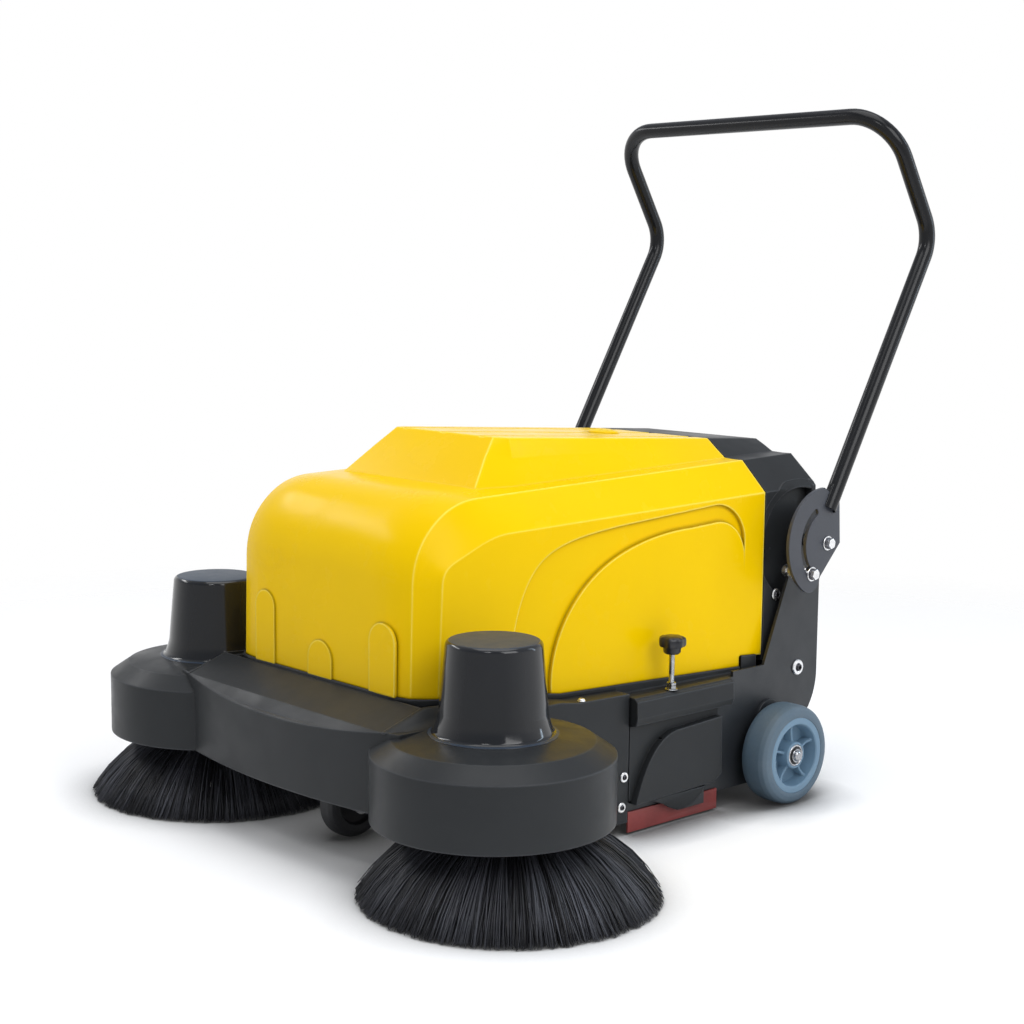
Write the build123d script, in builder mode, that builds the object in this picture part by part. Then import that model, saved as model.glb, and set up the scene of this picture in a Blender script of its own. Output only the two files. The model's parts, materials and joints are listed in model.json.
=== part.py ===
"""Walk-behind battery sweeper: two side brushes, a cylindrical main brush and a rear hopper.

Millimetres. +Z is up and -Y is the way the machine travels. The operator stands at +Y, faces
-Y, and has +X on the left hand. Pieces are laid out from a datum a little in front of the
middle, and save() moves them so that the origin is on the floor, mid-footprint.
"""

import os
from math import acos, degrees, hypot

from build123d import *

os.makedirs("parts", exist_ok=True)

# ---------------------------------------------------------------- driving dimensions
GAP = 0.3  # between pieces that move past each other

WHEEL_R = 75.0
WHEEL_Y = 225.0
WHEEL_IN, WHEEL_OUT = 263.0, 313.0
RIM_R = 57.0
HUB_R = 20.0
AXLE_R = 6.0
BEARING_R = 16.0

BRUSH_X, BRUSH_Y = 326.0, -365.0
BRUSH_R = 198.0
DRUM_X, DRUM_Y = 314.0, -384.0
DRUM_R = 156.5
DECK_BOTTOM = 102.0
DRUM_WALL_TOP = 187.0
DOME_BASE_Z = 212.0
DOME_TOP_Z = 331.0

ROLLER_Y, ROLLER_Z = 7.0, 106.0
ROLLER_R = 105.0
ROLLER_HALF = 212.0
ROLLER_CORE_R = 42.0
MOTOR_Y, MOTOR_Z = -150.0, 160.0
ROLLER_PULLEY_R = 40.0
MOTOR_PULLEY_R = 20.0
BELT_T = 4.0

PLATE_IN, PLATE_OUT = 247.0, 252.0  # steel side plates
COVER_OUT = 256.0  # outer face of the plastic that lies on the side plates

HOOD_FRONT = -424.0
HOOD_REAR = 229.5
HOUSING_FRONT = 231.5
HOUSING_REAR = 345.0
SHELL_T = 3.0

PIVOT_Y, PIVOT_Z = 310.0, 385.0
LOCK_Y, LOCK_Z = 274.0, 341.5
SLOT_R = hypot(PIVOT_Y - LOCK_Y, PIVOT_Z - LOCK_Z)
HANDLE_PLATE_IN, HANDLE_PLATE_OUT = 285.0, 291.0
TUBE_R = 12.5
TUBE_X = 288.0

KNOB_X, KNOB_Y = 259.0, 4.0
ROD_R = 4.0

PLATFORM_Z = 228.0  # underside of the steel platform under the hood
PLATFORM_X = 198.0

HOPPER_X = 236.0
HOPPER_FRONT, HOPPER_REAR = 132.0, 334.0
HOPPER_BOTTOM, HOPPER_TOP = 34.0, 184.0

CASTER_Y = -395.0
CASTER_TRAIL = 28.0
CASTER_R = 50.0

ORIGIN_SHIFT = 5.2  # brings the middle of the footprint to y = 0

pieces = []


def save(part, label):
    """Move a finished piece into the machine's frame, label it and write it."""
    piece = Pos(0, ORIGIN_SHIFT, 0) * part
    piece.label = label
    export_step(piece, f"parts/{label}.step")
    pieces.append(piece)


def both_sides(part, label):
    """Write a piece made on the +X side (the left), and its mirror image on the right."""
    save(part, f"{label}_left")
    save(mirror(part, about=Plane.YZ), f"{label}_right")


def save_pair(part, label):
    """Write a piece and its mirror image as two solids of one node."""
    with BuildPart() as pair:
        add(part)
        mirror(about=Plane.YZ)
    save(pair.part, label)


def box(x0, x1, y0, y1, z0, z1, mode=Mode.PRIVATE):
    """A box from its limits, kept outside any running block unless a mode is given."""
    return Pos((x0 + x1) / 2, (y0 + y1) / 2, (z0 + z1) / 2) * Box(
        x1 - x0, y1 - y0, z1 - z0, mode=mode
    )


def rod_x(x0, x1, y, z, r):
    """A round bar along X."""
    return Pos((x0 + x1) / 2, y, z) * Rot(0, 90, 0) * Cylinder(r, x1 - x0, mode=Mode.PRIVATE)


def rod_z(x, y, z0, z1, r):
    """A round bar along Z."""
    return Pos(x, y, (z0 + z1) / 2) * Cylinder(r, z1 - z0, mode=Mode.PRIVATE)


def hex_x(x0, x1, y, z, r):
    """A hexagon bar along X."""
    with BuildSketch(Plane.YZ.offset(x0), mode=Mode.PRIVATE) as sketch:
        with Locations((y, z)):
            RegularPolygon(r, 6)
    return extrude(sketch.sketch, amount=x1 - x0, mode=Mode.PRIVATE)


# ---------------------------------------------------------------- hood and rear housing
TOP_Z, TOP_FALL = 548.2, 0.0555  # height of the raised top at y = 0, and its fall to the rear
# The body's cross-section runs from the hood's front to the housing's rear wall: a flat top,
# a sloping shoulder band between two edges, and slightly tapered sides.
TOP_EDGE_X = 188.0
SIDE_FRONT_X, SIDE_REAR_X = 211.0, 234.5
SIDE_FRONT_Y = -392.0
BODY_REAR = 400.0  # the section is made longer than the housing and cut off


def edge_outline(front, lean, knee, crown, crown_y, rear_z, foot, belly=None):
    """Side outline: a front wall that leans back by lean up to knee, a curve, and the top."""
    start = Vector(front + lean, knee)
    if belly is None:
        belly = (start.X + (crown_y - start.X) * 0.2929, knee + (crown - knee) * 0.7071)
    slope = Vector(BODY_REAR - crown_y, rear_z - crown)
    with BuildSketch() as outline:
        with BuildLine():
            Line((front, foot), start)
            Spline(start, belly, (crown_y, crown), tangents=[Vector(lean, knee - foot), slope])
            Line((crown_y, crown), (BODY_REAR, rear_z))
            Line((BODY_REAR, rear_z), (BODY_REAR, foot))
            Line((BODY_REAR, foot), (front, foot))
        make_face()
    return outline.sketch


def tapered_plane(front_x, rear_x, inset):
    """An upright plane through front_x and rear_x at the side's front and rear, moved in by inset."""
    run_x, run_y = rear_x - front_x, HOOD_REAR - SIDE_FRONT_Y
    length = hypot(run_x, run_y)
    along = Vector(run_x / length, run_y / length, 0)
    normal = Vector(along.Y, -along.X, 0)
    start = Vector(front_x, SIDE_FRONT_Y, 0) - normal * inset
    start -= along * (start.Y / along.Y)
    return Plane(origin=start, x_dir=along, z_dir=normal)


def side_plane(inset):
    """The plane of the hood's side, which tapers towards the front."""
    return tapered_plane(SIDE_FRONT_X, SIDE_REAR_X, inset)


def body_block(inset, side_inset, foot):
    """Solid of the body without its raised top, inset by a shell's thickness.

    Between the flat middle and the shoulder edge the front bows back and the top falls a little.
    Between that edge and the side lies a sloping band, whose foot is rounded.
    """
    i, flat_x = inset, 120.0

    def outline(front, lean, knee, crown, crown_y, rear_z, belly=None):
        if belly:
            belly = (belly[0] + i, belly[1] - i)
        return edge_outline(front + i, lean, knee, crown - i, crown_y, rear_z - i, foot, belly)

    centre = outline(HOOD_FRONT, 0, 385, 495, -314, 514)
    sections = [
        Plane.YZ.offset(flat_x) * centre,
        Plane.YZ.offset(146) * outline(-423.5, 0.5, 384, 494, -312, 513.4),
        Plane.YZ.offset(170) * outline(-421.5, 3, 382, 491.6, -307, 512.6),
        Plane.YZ.offset(TOP_EDGE_X - i) * outline(-417, 4, 380, 490, -302, 513),
        tapered_plane(199.5, 211.3, side_inset * 0.5)
        * outline(-407, 9.5, 382.5, 466.5, -286, 491, (-366.2, 437.4)),
        side_plane(side_inset) * outline(-392, 10, 385, 443, -270, 469, (-352, 417)),
    ]
    block = extrude(Plane.YZ.offset(-flat_x) * centre, amount=2 * flat_x, mode=Mode.PRIVATE)
    for inner, outer in zip(sections, sections[1:]):
        slice_ = loft([inner.face(), outer.face()], ruled=True, mode=Mode.PRIVATE)
        block += slice_ + mirror(slice_, about=Plane.YZ, mode=Mode.PRIVATE)
    return block


def hexagon(plane, front, front_x, corner, side_x):
    """Outline of the raised top at one level: a straight front with cut corners."""
    points = [
        (-front_x, front),
        (front_x, front),
        (side_x, corner),
        (side_x, BODY_REAR),
        (-side_x, BODY_REAR),
        (-side_x, corner),
    ]
    return plane * make_face(Polyline(*points, close=True, mode=Mode.PRIVATE), mode=Mode.PRIVATE)


def sloping(z_front, slope):
    """A plane that falls towards the rear, with its local origin at y = 0."""
    tilt = Vector(0, slope, 1).normalized()
    return Plane(origin=(0, 0, z_front), x_dir=(1, 0, 0), z_dir=tilt)


def raised_top(inset):
    """Solid of the raised top: two bevels all round under a gently falling plateau."""
    top = hexagon(sloping(TOP_Z - inset, TOP_FALL), -203 + inset, 106 - inset, -183, 117 - inset)
    kink = hexagon(sloping(528 - inset, 0.0182), -233 + inset, 122 - inset, -190, 132 - inset)
    base = hexagon(sloping(495.2 - inset, -0.0296), -279 + inset, 150 - inset, -216, 162 - inset)
    upper = loft([kink.face(), top.face()], ruled=True, mode=Mode.PRIVATE)
    lower = loft([base.face(), kink.face()], ruled=True, mode=Mode.PRIVATE)
    return upper + lower


def prism_x(points, half_width):
    """A prism across the machine from its outline in Y and Z."""
    face = make_face(Polyline(*points, close=True, mode=Mode.PRIVATE), mode=Mode.PRIVATE)
    return extrude(Plane.YZ.offset(-half_width) * face, amount=2 * half_width, mode=Mode.PRIVATE)


# lower edge of the hood: level at the front, falling along the side, and stepped at the rear
below_hood = prism_x(
    [
        (-460, 60),
        (-460, 236),
        (-330, 236),
        (-178, 213),
        (181, 203),
        (181, 219),
        (HOOD_REAR + 5, 215.5),
        (HOOD_REAR + 5, 60),
    ],
    300,
)
outer_body = body_block(0, 0, 150) + raised_top(0)
inner_body = body_block(SHELL_T, 10, 140) + raised_top(SHELL_T)

# raised arch panel on each side, and the sunk field that frames it
ARCH = [(-191, 200), (-182, 287), (-123, 364), (-46, 403), (76, 422)]
FIELD = [(-260, 200), (-251, 340), (-215, 397), (-148, 425), (-70, 436)]


def side_field(depth):
    """The sunk field in the hood's side, cut to depth, with the arch panel left standing."""
    plane = side_plane(depth)
    with BuildSketch(plane) as field:
        with BuildLine():
            edge = Spline(*FIELD)
            Line(edge @ 1, (118, 451))
            RadiusArc((118, 451), (187, 402), 62)
            Line((187, 402), (191, 180))
            Polyline((191, 180), (-260, 180), (-260, 200))
        make_face()
        with BuildLine():
            arch = Spline(*ARCH)
            Line(arch @ 1, (120, 425))
            RadiusArc((120, 425), (187, 378), 58)
            Line((187, 378), (193, 170))
            Polyline((193, 170), (-191, 170), (-191, 200))
        make_face(mode=Mode.SUBTRACT)
    return extrude(field.sketch, amount=depth + 2, mode=Mode.PRIVATE)


def front_boss(x, top_z, half_width, depth):
    """An arch-topped boss moulded on the hood's front face."""
    with BuildSketch(Plane.XZ.offset(-HOOD_FRONT - 2)) as boss:
        with Locations((x, (top_z + 236 - half_width) / 2)):
            Rectangle(2 * half_width, top_z - 236 - half_width)
        with Locations((x, top_z - half_width)):
            Circle(half_width)
    return extrude(boss.sketch, amount=2 + depth, mode=Mode.PRIVATE)


hood_solid = outer_body - inner_body
hood_solid -= below_hood
hood_solid = hood_solid & box(-300, 300, -460, HOOD_REAR, 100, 700)
for cut in (side_field(6), mirror(side_field(6), about=Plane.YZ, mode=Mode.PRIVATE)):
    hood_solid -= cut
for boss_x, boss_top, boss_half in ((-124, 339, 23), (5, 287, 27), (141, 331, 27)):
    hood_solid += front_boss(boss_x, boss_top, boss_half, 2.5) - below_hood

GROOVE_SPACING = 84.0
for groove_x in (-GROOVE_SPACING, 0, GROOVE_SPACING):
    with BuildPart() as groove:
        with BuildSketch(Plane.XZ.offset(260)):
            with Locations((groove_x, 0)):
                Ellipse(7, 1.6)
        extrude(amount=-520)
    run = sloping(TOP_Z, TOP_FALL)
    hood_solid -= run.location * groove.part

HINGE_Y, HINGE_Z = -412.0, 250.0
HINGE_X = 90.0
PIN_R = 3.0
with BuildPart() as hood:
    add(hood_solid)
    with Locations((0, 120, 541)):
        Cylinder(19, 16, mode=Mode.SUBTRACT)  # finger hole for lifting the hood
    # ears inside the front wall that turn on the hinge pins
    for side in (-1, 1):
        for ear_x in (side * HINGE_X - 11, side * HINGE_X + 11):
            add(box(ear_x - 3, ear_x + 3, HOOD_FRONT + 1, HINGE_Y + 6, HINGE_Z - 6, HINGE_Z + 8))
    for side in (-1, 1):
        pin_hole = rod_x(side * HINGE_X - 15, side * HINGE_X + 15, HINGE_Y, HINGE_Z, PIN_R + 0.1)
        add(pin_hole, mode=Mode.SUBTRACT)
save(hood.part, "hood")

with BuildPart() as hood_hinges:
    for side in (-1, 1):
        x0, x1 = side * HINGE_X - 7, side * HINGE_X + 7
        # gooseneck arm, clear of the hood's lower edge as it swings under the pin
        add(box(x0, x1, -388, -352, PLATFORM_Z + 4, PLATFORM_Z + 7))
        add(box(x0, x1, -388, -383, PLATFORM_Z + 4, HINGE_Z + 3))
        add(box(x0, x1, HINGE_Y, -383, HINGE_Z - 2, HINGE_Z + 3))
        add(rod_x(x0, x1, HINGE_Y, HINGE_Z, 5))
        add(rod_x(x0 - 7, x1 + 7, HINGE_Y, HINGE_Z, PIN_R))
save(hood_hinges.part, "hood_hinges")

PANEL_BOTTOM = 206.0
housing_solid = outer_body & box(-300, 300, HOUSING_FRONT, HOUSING_REAR, PANEL_BOTTOM, 700)
housing_hollow = body_block(SHELL_T, 14, 140) + raised_top(SHELL_T)
housing_solid -= housing_hollow & box(-300, 300, 0, HOUSING_REAR - SHELL_T, 100, 700)

DISH_R = 92.0
with BuildPart() as rear_housing:
    add(housing_solid)
    for side in (-1, 1):
        with Locations(Location((side * 238, PIVOT_Y, PIVOT_Z), (0, 90, 0))):
            Cylinder(DISH_R, 24, mode=Mode.SUBTRACT)
    # openings for the switch panel and the charging socket in the rear wall
    with Locations((0, HOUSING_REAR, 430)):
        Box(170, 20, 70, mode=Mode.SUBTRACT)
    with Locations(Location((120, HOUSING_REAR, 300), (90, 0, 0))):
        Cylinder(17, 20, mode=Mode.SUBTRACT)
save(rear_housing.part, "rear_housing")

# ---------------------------------------------------------------- front deck and motor covers


def deck_block(inset):
    """Solid of the deck: a curved bumper between two round brush shrouds."""
    floor = DECK_BOTTOM - inset
    with BuildPart(mode=Mode.PRIVATE) as bumper:
        with BuildSketch(Plane.XY.offset(floor)):
            with BuildLine():
                ThreePointArc(
                    (-250, -484 + inset), (0, -512 + inset), (250, -484 + inset)
                )
                Polyline((250, -484 + inset), (COVER_OUT - inset, -300))
                Line((COVER_OUT - inset, -300), (COVER_OUT - inset, -78 - inset))
                Line((COVER_OUT - inset, -78 - inset), (inset - COVER_OUT, -78 - inset))
                Line((inset - COVER_OUT, -78 - inset), (inset - COVER_OUT, -300))
                Line((inset - COVER_OUT, -300), (-250, -484 + inset))
            make_face()
        extrude(amount=150)
    low = DOME_BASE_Z - inset
    front = [(-540, floor - 1), (-516, floor - 1), (-516, 188), (-511, 196), (-490, 211 - inset)]
    rear = [(-178, 207 - inset), (-60, 204 - inset), (-60, floor - 1)]
    rim = [(-426 + inset, 233 - inset), (-426 + inset, 229 - inset), (-330, 229 - inset)]
    block = bumper.part & prism_x(front + [(-486, low), (-210, low)] + rear, 300)
    block += bumper.part & prism_x(front + rim + rear, 226 - inset)
    with BuildPart(mode=Mode.PRIVATE) as drum:
        with BuildSketch(Plane.XZ):
            with BuildLine():
                Polyline(
                    (0, floor),
                    (DRUM_R - inset, floor),
                    (DRUM_R - inset, DRUM_WALL_TOP - inset),
                    (130 - inset, 205 - inset),
                    (86, DOME_BASE_Z - inset),
                    (0, DOME_BASE_Z - inset),
                    close=True,
                )
            make_face()
        revolve(axis=Axis.Z)
    for side in (-1, 1):
        block += Pos(side * DRUM_X, DRUM_Y, 0) * drum.part
    return block


SKIRT_BOLTS = ((-87, 87), (-91, 44))
deck_shell = deck_block(0) - deck_block(4.0)
with BuildPart() as front_deck:
    add(deck_shell)
    # the deck is open under the hood, and at its rear between the side plates
    add(box(-212, 212, -418, -60, 90, 300), mode=Mode.SUBTRACT)
    add(box(-PLATE_OUT, PLATE_OUT, -140, -60, 90, 199.5), mode=Mode.SUBTRACT)
    # holes that the brush motors pass through
    for side in (-1, 1):
        with Locations((side * DRUM_X, DRUM_Y, 210)):
            Cylinder(56, 30, mode=Mode.SUBTRACT)
    # narrow skirts that reach down in front of the side covers
    for side in (-1, 1):
        with Locations((side * (PLATE_OUT + COVER_OUT + GAP) / 2, -95, 104)):
            Box(COVER_OUT - PLATE_OUT - GAP, 34, 168)
        for y, z in SKIRT_BOLTS:
            add(rod_x(side * 258 - 10, side * 258 + 10, y, z, 4.0), mode=Mode.SUBTRACT)
save(front_deck.part, "front_deck")


def dome_solid(inset, base):
    """A motor cover's solid: a flared foot, a slightly conical wall and a rounded top."""
    top = DOME_TOP_Z - inset
    wall_foot = DOME_BASE_Z + 15
    with BuildPart(mode=Mode.PRIVATE) as solid:
        with BuildSketch(Plane.XZ):
            with BuildLine():
                Line((0, base), (84 - inset, base))
                Line((84 - inset, base), (84 - inset, DOME_BASE_Z + 2 - inset))
                RadiusArc((84 - inset, DOME_BASE_Z + 2 - inset), (71 - inset, wall_foot), 15)
                Line((71 - inset, wall_foot), (61.5 - inset, DOME_TOP_Z - 14))
                RadiusArc((61.5 - inset, DOME_TOP_Z - 14), (48, top - 1.5), -14)
                Line((48, top - 1.5), (0, top))
                Line((0, top), (0, base))
            make_face()
        revolve(axis=Axis.Z)
    return solid.part


dome_shell = dome_solid(0, DOME_BASE_Z + 0.1) - dome_solid(3, DOME_BASE_Z - 5)
with BuildPart() as dome:
    add(dome_shell)
both_sides(Pos(DRUM_X, DRUM_Y, 0) * dome.part, "motor_cover")

# ---------------------------------------------------------------- side brushes
PLATE_DISC_Z = 86.0
SHAFT_R = 8.0
with BuildPart() as brush_motor:
    with Locations((DRUM_X, DRUM_Y, 262)):
        Cylinder(38, 84)
    with Locations((DRUM_X, DRUM_Y, 212)):
        Cylinder(46, 18)
    with BuildSketch(Plane.XY.offset(150)):
        with Locations((BRUSH_X, BRUSH_Y), (DRUM_X, DRUM_Y)):
            Circle(34)
    extrude(amount=54)
    # mounting flange against the underside of the shroud
    with BuildSketch(Plane.XY.offset(DOME_BASE_Z - 9)):
        with Locations((DRUM_X, DRUM_Y)):
            Rectangle(130, 26)
            Rectangle(26, 130)
    extrude(amount=5)
    add(rod_z(BRUSH_X, BRUSH_Y, 145, 202, SHAFT_R + 0.1), mode=Mode.SUBTRACT)
save_pair(brush_motor.part, "side_brush_motors")

with BuildPart() as brush_disc:
    with Locations((BRUSH_X, BRUSH_Y, PLATE_DISC_Z)):
        Cylinder(84, 10, align=(Align.CENTER, Align.CENTER, Align.MIN))
        Cylinder(24, 14, align=(Align.CENTER, Align.CENTER, Align.MIN))
        with PolarLocations(50, 6):
            Cylinder(9, 40, mode=Mode.SUBTRACT)
    add(rod_z(BRUSH_X, BRUSH_Y, PLATE_DISC_Z, 198, SHAFT_R))
both_sides(brush_disc.part, "side_brush_disc")

with BuildPart() as brush_ring:
    with BuildSketch(Plane.XZ):
        with BuildLine():
            Polyline(
                (46, PLATE_DISC_Z),
                (82, PLATE_DISC_Z),
                (150, 46),
                (BRUSH_R, 8),
                (BRUSH_R, 1),
                (176, 1),
                (120, 34),
                (46, 70),
                close=True,
            )
        make_face()
    revolve(axis=Axis.Z)
both_sides(Pos(BRUSH_X, BRUSH_Y, 0) * brush_ring.part, "side_brush_bristles")

# ---------------------------------------------------------------- side plates and frame
PLATE_BOLT = (295, 190)
with BuildPart() as side_plate:
    with BuildSketch(Plane.YZ.offset(PLATE_IN)):
        with BuildLine():
            Polyline((-98, 28), (-98, 150), (-300, 150), (-300, 196), (-98, 196))
            Polyline((-98, 196), (146, 196), (146, 204), (216, 204), (268, 330), (284, 420))
            Polyline((284, 420), (300, 436), (343, 436), (343, 178))
            ThreePointArc((343, 178), (334, 138), (306, 104))
            Line((306, 104), (262, 44))
            RadiusArc((262, 44), (240, 28), 24)
            Line((240, 28), (-98, 28))
        make_face()
        with Locations((WHEEL_Y, WHEEL_R)):
            Circle(AXLE_R, mode=Mode.SUBTRACT)
        with Locations((PIVOT_Y, PIVOT_Z), (LOCK_Y, LOCK_Z)):
            Circle(5.0, mode=Mode.SUBTRACT)
        with Locations((KNOB_Y, 172)):
            Rectangle(28, 30, mode=Mode.SUBTRACT)
        with Locations(PLATE_BOLT, *SKIRT_BOLTS):
            Circle(4.0, mode=Mode.SUBTRACT)
    extrude(amount=PLATE_OUT - PLATE_IN)
both_sides(side_plate.part, "side_plate")

with BuildPart() as axle_bracket:
    with BuildSketch(Plane.YZ.offset(PLATE_OUT)):
        with Locations((WHEEL_Y, 84)):
            Rectangle(54, 80)
        with Locations((WHEEL_Y, 124)):
            Circle(27)
        with Locations((WHEEL_Y, WHEEL_R)):
            Circle(AXLE_R, mode=Mode.SUBTRACT)
    extrude(amount=6)
save_pair(axle_bracket.part, "axle_brackets")

with BuildPart() as platform:
    add(box(-PLATFORM_X, PLATFORM_X, -395, 222, PLATFORM_Z, PLATFORM_Z + 4))
    for side in (-1, 1):
        for y0, y1 in ((-290, -205), (140, 214)):
            add(box(*sorted((side * 194, side * PLATFORM_X)), y0, y1, 188, PLATFORM_Z))
            add(box(*sorted((side * 194, side * PLATE_IN)), y0, y1, 188, 192))
    for y in (-200, 80):
        with Locations((0, y, PLATFORM_Z + 2)):
            with GridLocations(120, 0, 2, 1):
                Cylinder(14, 10, mode=Mode.SUBTRACT)
    # welded hanger that carries the front caster
    add(box(-62, 62, -440, -345, 132, 136))
    for side in (-1, 1):
        add(box(*sorted((side * 58, side * 62)), -402, -345, 132, PLATFORM_Z))
        add(box(*sorted((side * 58, side * 96)), -394, -345, PLATFORM_Z - 4, PLATFORM_Z))
save(platform.part, "platform")

# ---------------------------------------------------------------- side covers and flaps
COVER_Y0, COVER_Y1 = -76.0, 128.0
ROLL_TOP, ROLL_LOW = 199.0, 157.0
COVER_WALL = 3.5
with BuildPart() as side_cover:
    inner_face = PLATE_OUT + GAP
    add(box(inner_face, COVER_OUT, COVER_Y0, 110, 50, ROLL_LOW + 6))
    # rounded roll along the top
    with BuildSketch(Plane.XZ.offset(-COVER_Y1)):
        with BuildLine():
            Polyline((inner_face, ROLL_TOP), (264, ROLL_TOP), (270, ROLL_TOP - 5))
            Polyline((270, ROLL_TOP - 5), (271, ROLL_TOP - 29), (268, ROLL_LOW + 3))
            Polyline((268, ROLL_LOW + 3), (256, ROLL_LOW), (inner_face, ROLL_LOW))
            Line((inner_face, ROLL_LOW), (inner_face, ROLL_TOP))
        make_face()
    extrude(amount=COVER_Y1 - COVER_Y0)
    # arch-topped bulge below it
    with BuildSketch(Plane.YZ.offset(inner_face)):
        with BuildLine():
            arch_edge = Spline((-72, 46), (-50, 97), (-20, 130), (10, 141))
            Polyline(arch_edge @ 1, (106, 146), (108, 60), (92, 50), (-72, 46))
        make_face()
    extrude(amount=15)
    # hollow behind the roll and the arch
    roll_inner = (COVER_Y0 + COVER_WALL, COVER_Y1 - COVER_WALL, ROLL_LOW + 4, ROLL_TOP - COVER_WALL)
    add(box(inner_face - 1, 267, *roll_inner), mode=Mode.SUBTRACT)
    add(box(inner_face - 1, 263, -18, 102, 66, 132), mode=Mode.SUBTRACT)
    with Locations((KNOB_X, KNOB_Y, ROLL_TOP)):
        Cylinder(ROD_R + 0.5, 20, mode=Mode.SUBTRACT)
both_sides(side_cover.part, "side_cover")

with BuildPart() as skirt_bracket:
    add(box(PLATE_OUT + 0.1, 262, 20, 76, 34, 46))
    add(box(258, 262, 20, 76, 20, 46))
save_pair(skirt_bracket.part, "skirt_brackets")

with BuildPart() as side_flap:
    add(box(PLATE_OUT + 0.1, PLATE_OUT + 3.1, -76, 112, 4, 33.9))
save_pair(side_flap.part, "side_flaps")

with BuildPart() as cross_flaps:
    add(box(-240, 240, -112, -108, 5, 90))
    add(box(-240, 240, 122, 126, 5, 70))
save(cross_flaps.part, "cross_flaps")

with BuildPart() as flap_bars:
    for y0, y1, z in ((-116, -112, 90), (126, 130, 70)):
        add(box(-PLATE_IN, PLATE_IN, y0, y1, z - 30, z))
    for y0, y1, z in ((-116, -100, 90), (118, 130, 70)):
        add(box(-PLATE_IN, PLATE_IN, y0, y1, z, z + 4))
save(flap_bars.part, "flap_bars")

# ---------------------------------------------------------------- rear wheels
RIB_COUNT = 5
with BuildPart() as rim:
    with BuildSketch(Plane.YZ.offset(WHEEL_IN + 1)):
        with Locations((WHEEL_Y, WHEEL_R)):
            Circle(RIM_R)
            Circle(RIM_R - 11, mode=Mode.SUBTRACT)
    extrude(amount=WHEEL_OUT - WHEEL_IN - 2)
    with BuildSketch(Plane.YZ.offset(WHEEL_IN + 18)):
        with Locations((WHEEL_Y, WHEEL_R)):
            Circle(RIM_R - 5)
    extrude(amount=8)
    with BuildSketch(Plane.YZ.offset(WHEEL_IN + 1)):
        with Locations((WHEEL_Y, WHEEL_R)):
            Circle(HUB_R)
    extrude(amount=WHEEL_OUT - WHEEL_IN - 4)
    with BuildSketch(Plane.YZ.offset(WHEEL_IN + 5)):
        with Locations((WHEEL_Y, WHEEL_R)):
            with PolarLocations((HUB_R + RIM_R) / 2 - 5, RIB_COUNT):
                Rectangle(RIM_R - HUB_R - 2, 4)
    extrude(amount=36)
    with BuildSketch(Plane.YZ.offset(WHEEL_IN)):
        with Locations((WHEEL_Y, WHEEL_R)):
            Circle(AXLE_R + 3)
    extrude(amount=60, mode=Mode.SUBTRACT)
    for x0 in (WHEEL_IN, WHEEL_OUT - 13):
        with BuildSketch(Plane.YZ.offset(x0)):
            with Locations((WHEEL_Y, WHEEL_R)):
                Circle(BEARING_R)
        extrude(amount=11, mode=Mode.SUBTRACT)
both_sides(rim.part, "rim")

TYRE_CROWN = 14.0
with BuildPart() as tyre:
    with BuildSketch(Plane.XY.offset(WHEEL_R)):
        with BuildLine():
            Line((WHEEL_IN + 1, WHEEL_Y - RIM_R), (WHEEL_OUT - 1, WHEEL_Y - RIM_R))
            Line((WHEEL_OUT - 1, WHEEL_Y - RIM_R), (WHEEL_OUT, WHEEL_Y - RIM_R - 6))
            Bezier(
                (WHEEL_OUT, WHEEL_Y - RIM_R - 6),
                (WHEEL_OUT - 1, WHEEL_Y - WHEEL_R),
                (WHEEL_OUT - TYRE_CROWN, WHEEL_Y - WHEEL_R),
            )
            tread = Line(
                (WHEEL_OUT - TYRE_CROWN, WHEEL_Y - WHEEL_R), (WHEEL_IN + TYRE_CROWN, WHEEL_Y - WHEEL_R)
            )
            Bezier(
                tread @ 1,
                (WHEEL_IN + 1, WHEEL_Y - WHEEL_R),
                (WHEEL_IN, WHEEL_Y - RIM_R - 6),
            )
            Line((WHEEL_IN, WHEEL_Y - RIM_R - 6), (WHEEL_IN + 1, WHEEL_Y - RIM_R))
        make_face()
    revolve(axis=Axis((0, WHEEL_Y, WHEEL_R), (1, 0, 0)))
both_sides(tyre.part, "tyre")

with BuildPart() as wheel_bearings:
    for x0 in (WHEEL_IN + 0.5, WHEEL_OUT - 12):
        with BuildSketch(Plane.YZ.offset(x0)):
            with Locations((WHEEL_Y, WHEEL_R)):
                Circle(BEARING_R - 0.05)
                Circle(AXLE_R, mode=Mode.SUBTRACT)
        extrude(amount=10)
save_pair(wheel_bearings.part, "wheel_bearings")

with BuildPart() as wheel_bolt:
    add(rod_x(PLATE_IN - 6.4, WHEEL_OUT - 1, WHEEL_Y, WHEEL_R, AXLE_R))
    add(rod_x(WHEEL_OUT - 1.5, WHEEL_OUT + 1, WHEEL_Y, WHEEL_R, 9))
    add(hex_x(WHEEL_OUT + 0.5, WHEEL_OUT + 6, WHEEL_Y, WHEEL_R, 7))
    add(hex_x(PLATE_IN - 6.4, PLATE_IN, WHEEL_Y, WHEEL_R, 10))
    add(rod_x(PLATE_OUT + 6, WHEEL_IN + 0.2, WHEEL_Y, WHEEL_R, 9))
save_pair(wheel_bolt.part, "wheel_bolts")

# ---------------------------------------------------------------- front caster
CASTER_WHEEL_Y = CASTER_Y + CASTER_TRAIL
FORK_TOP = 122.0
with BuildPart() as caster_plate:
    add(box(-45, 45, CASTER_Y - 36, CASTER_Y + 36, 127.5, 132))
    add(rod_z(0, CASTER_Y, 110, 131, 5.9))
    add(rod_z(0, CASTER_Y, 110, 113.5, 12))
save(caster_plate.part, "caster_plate")

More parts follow.
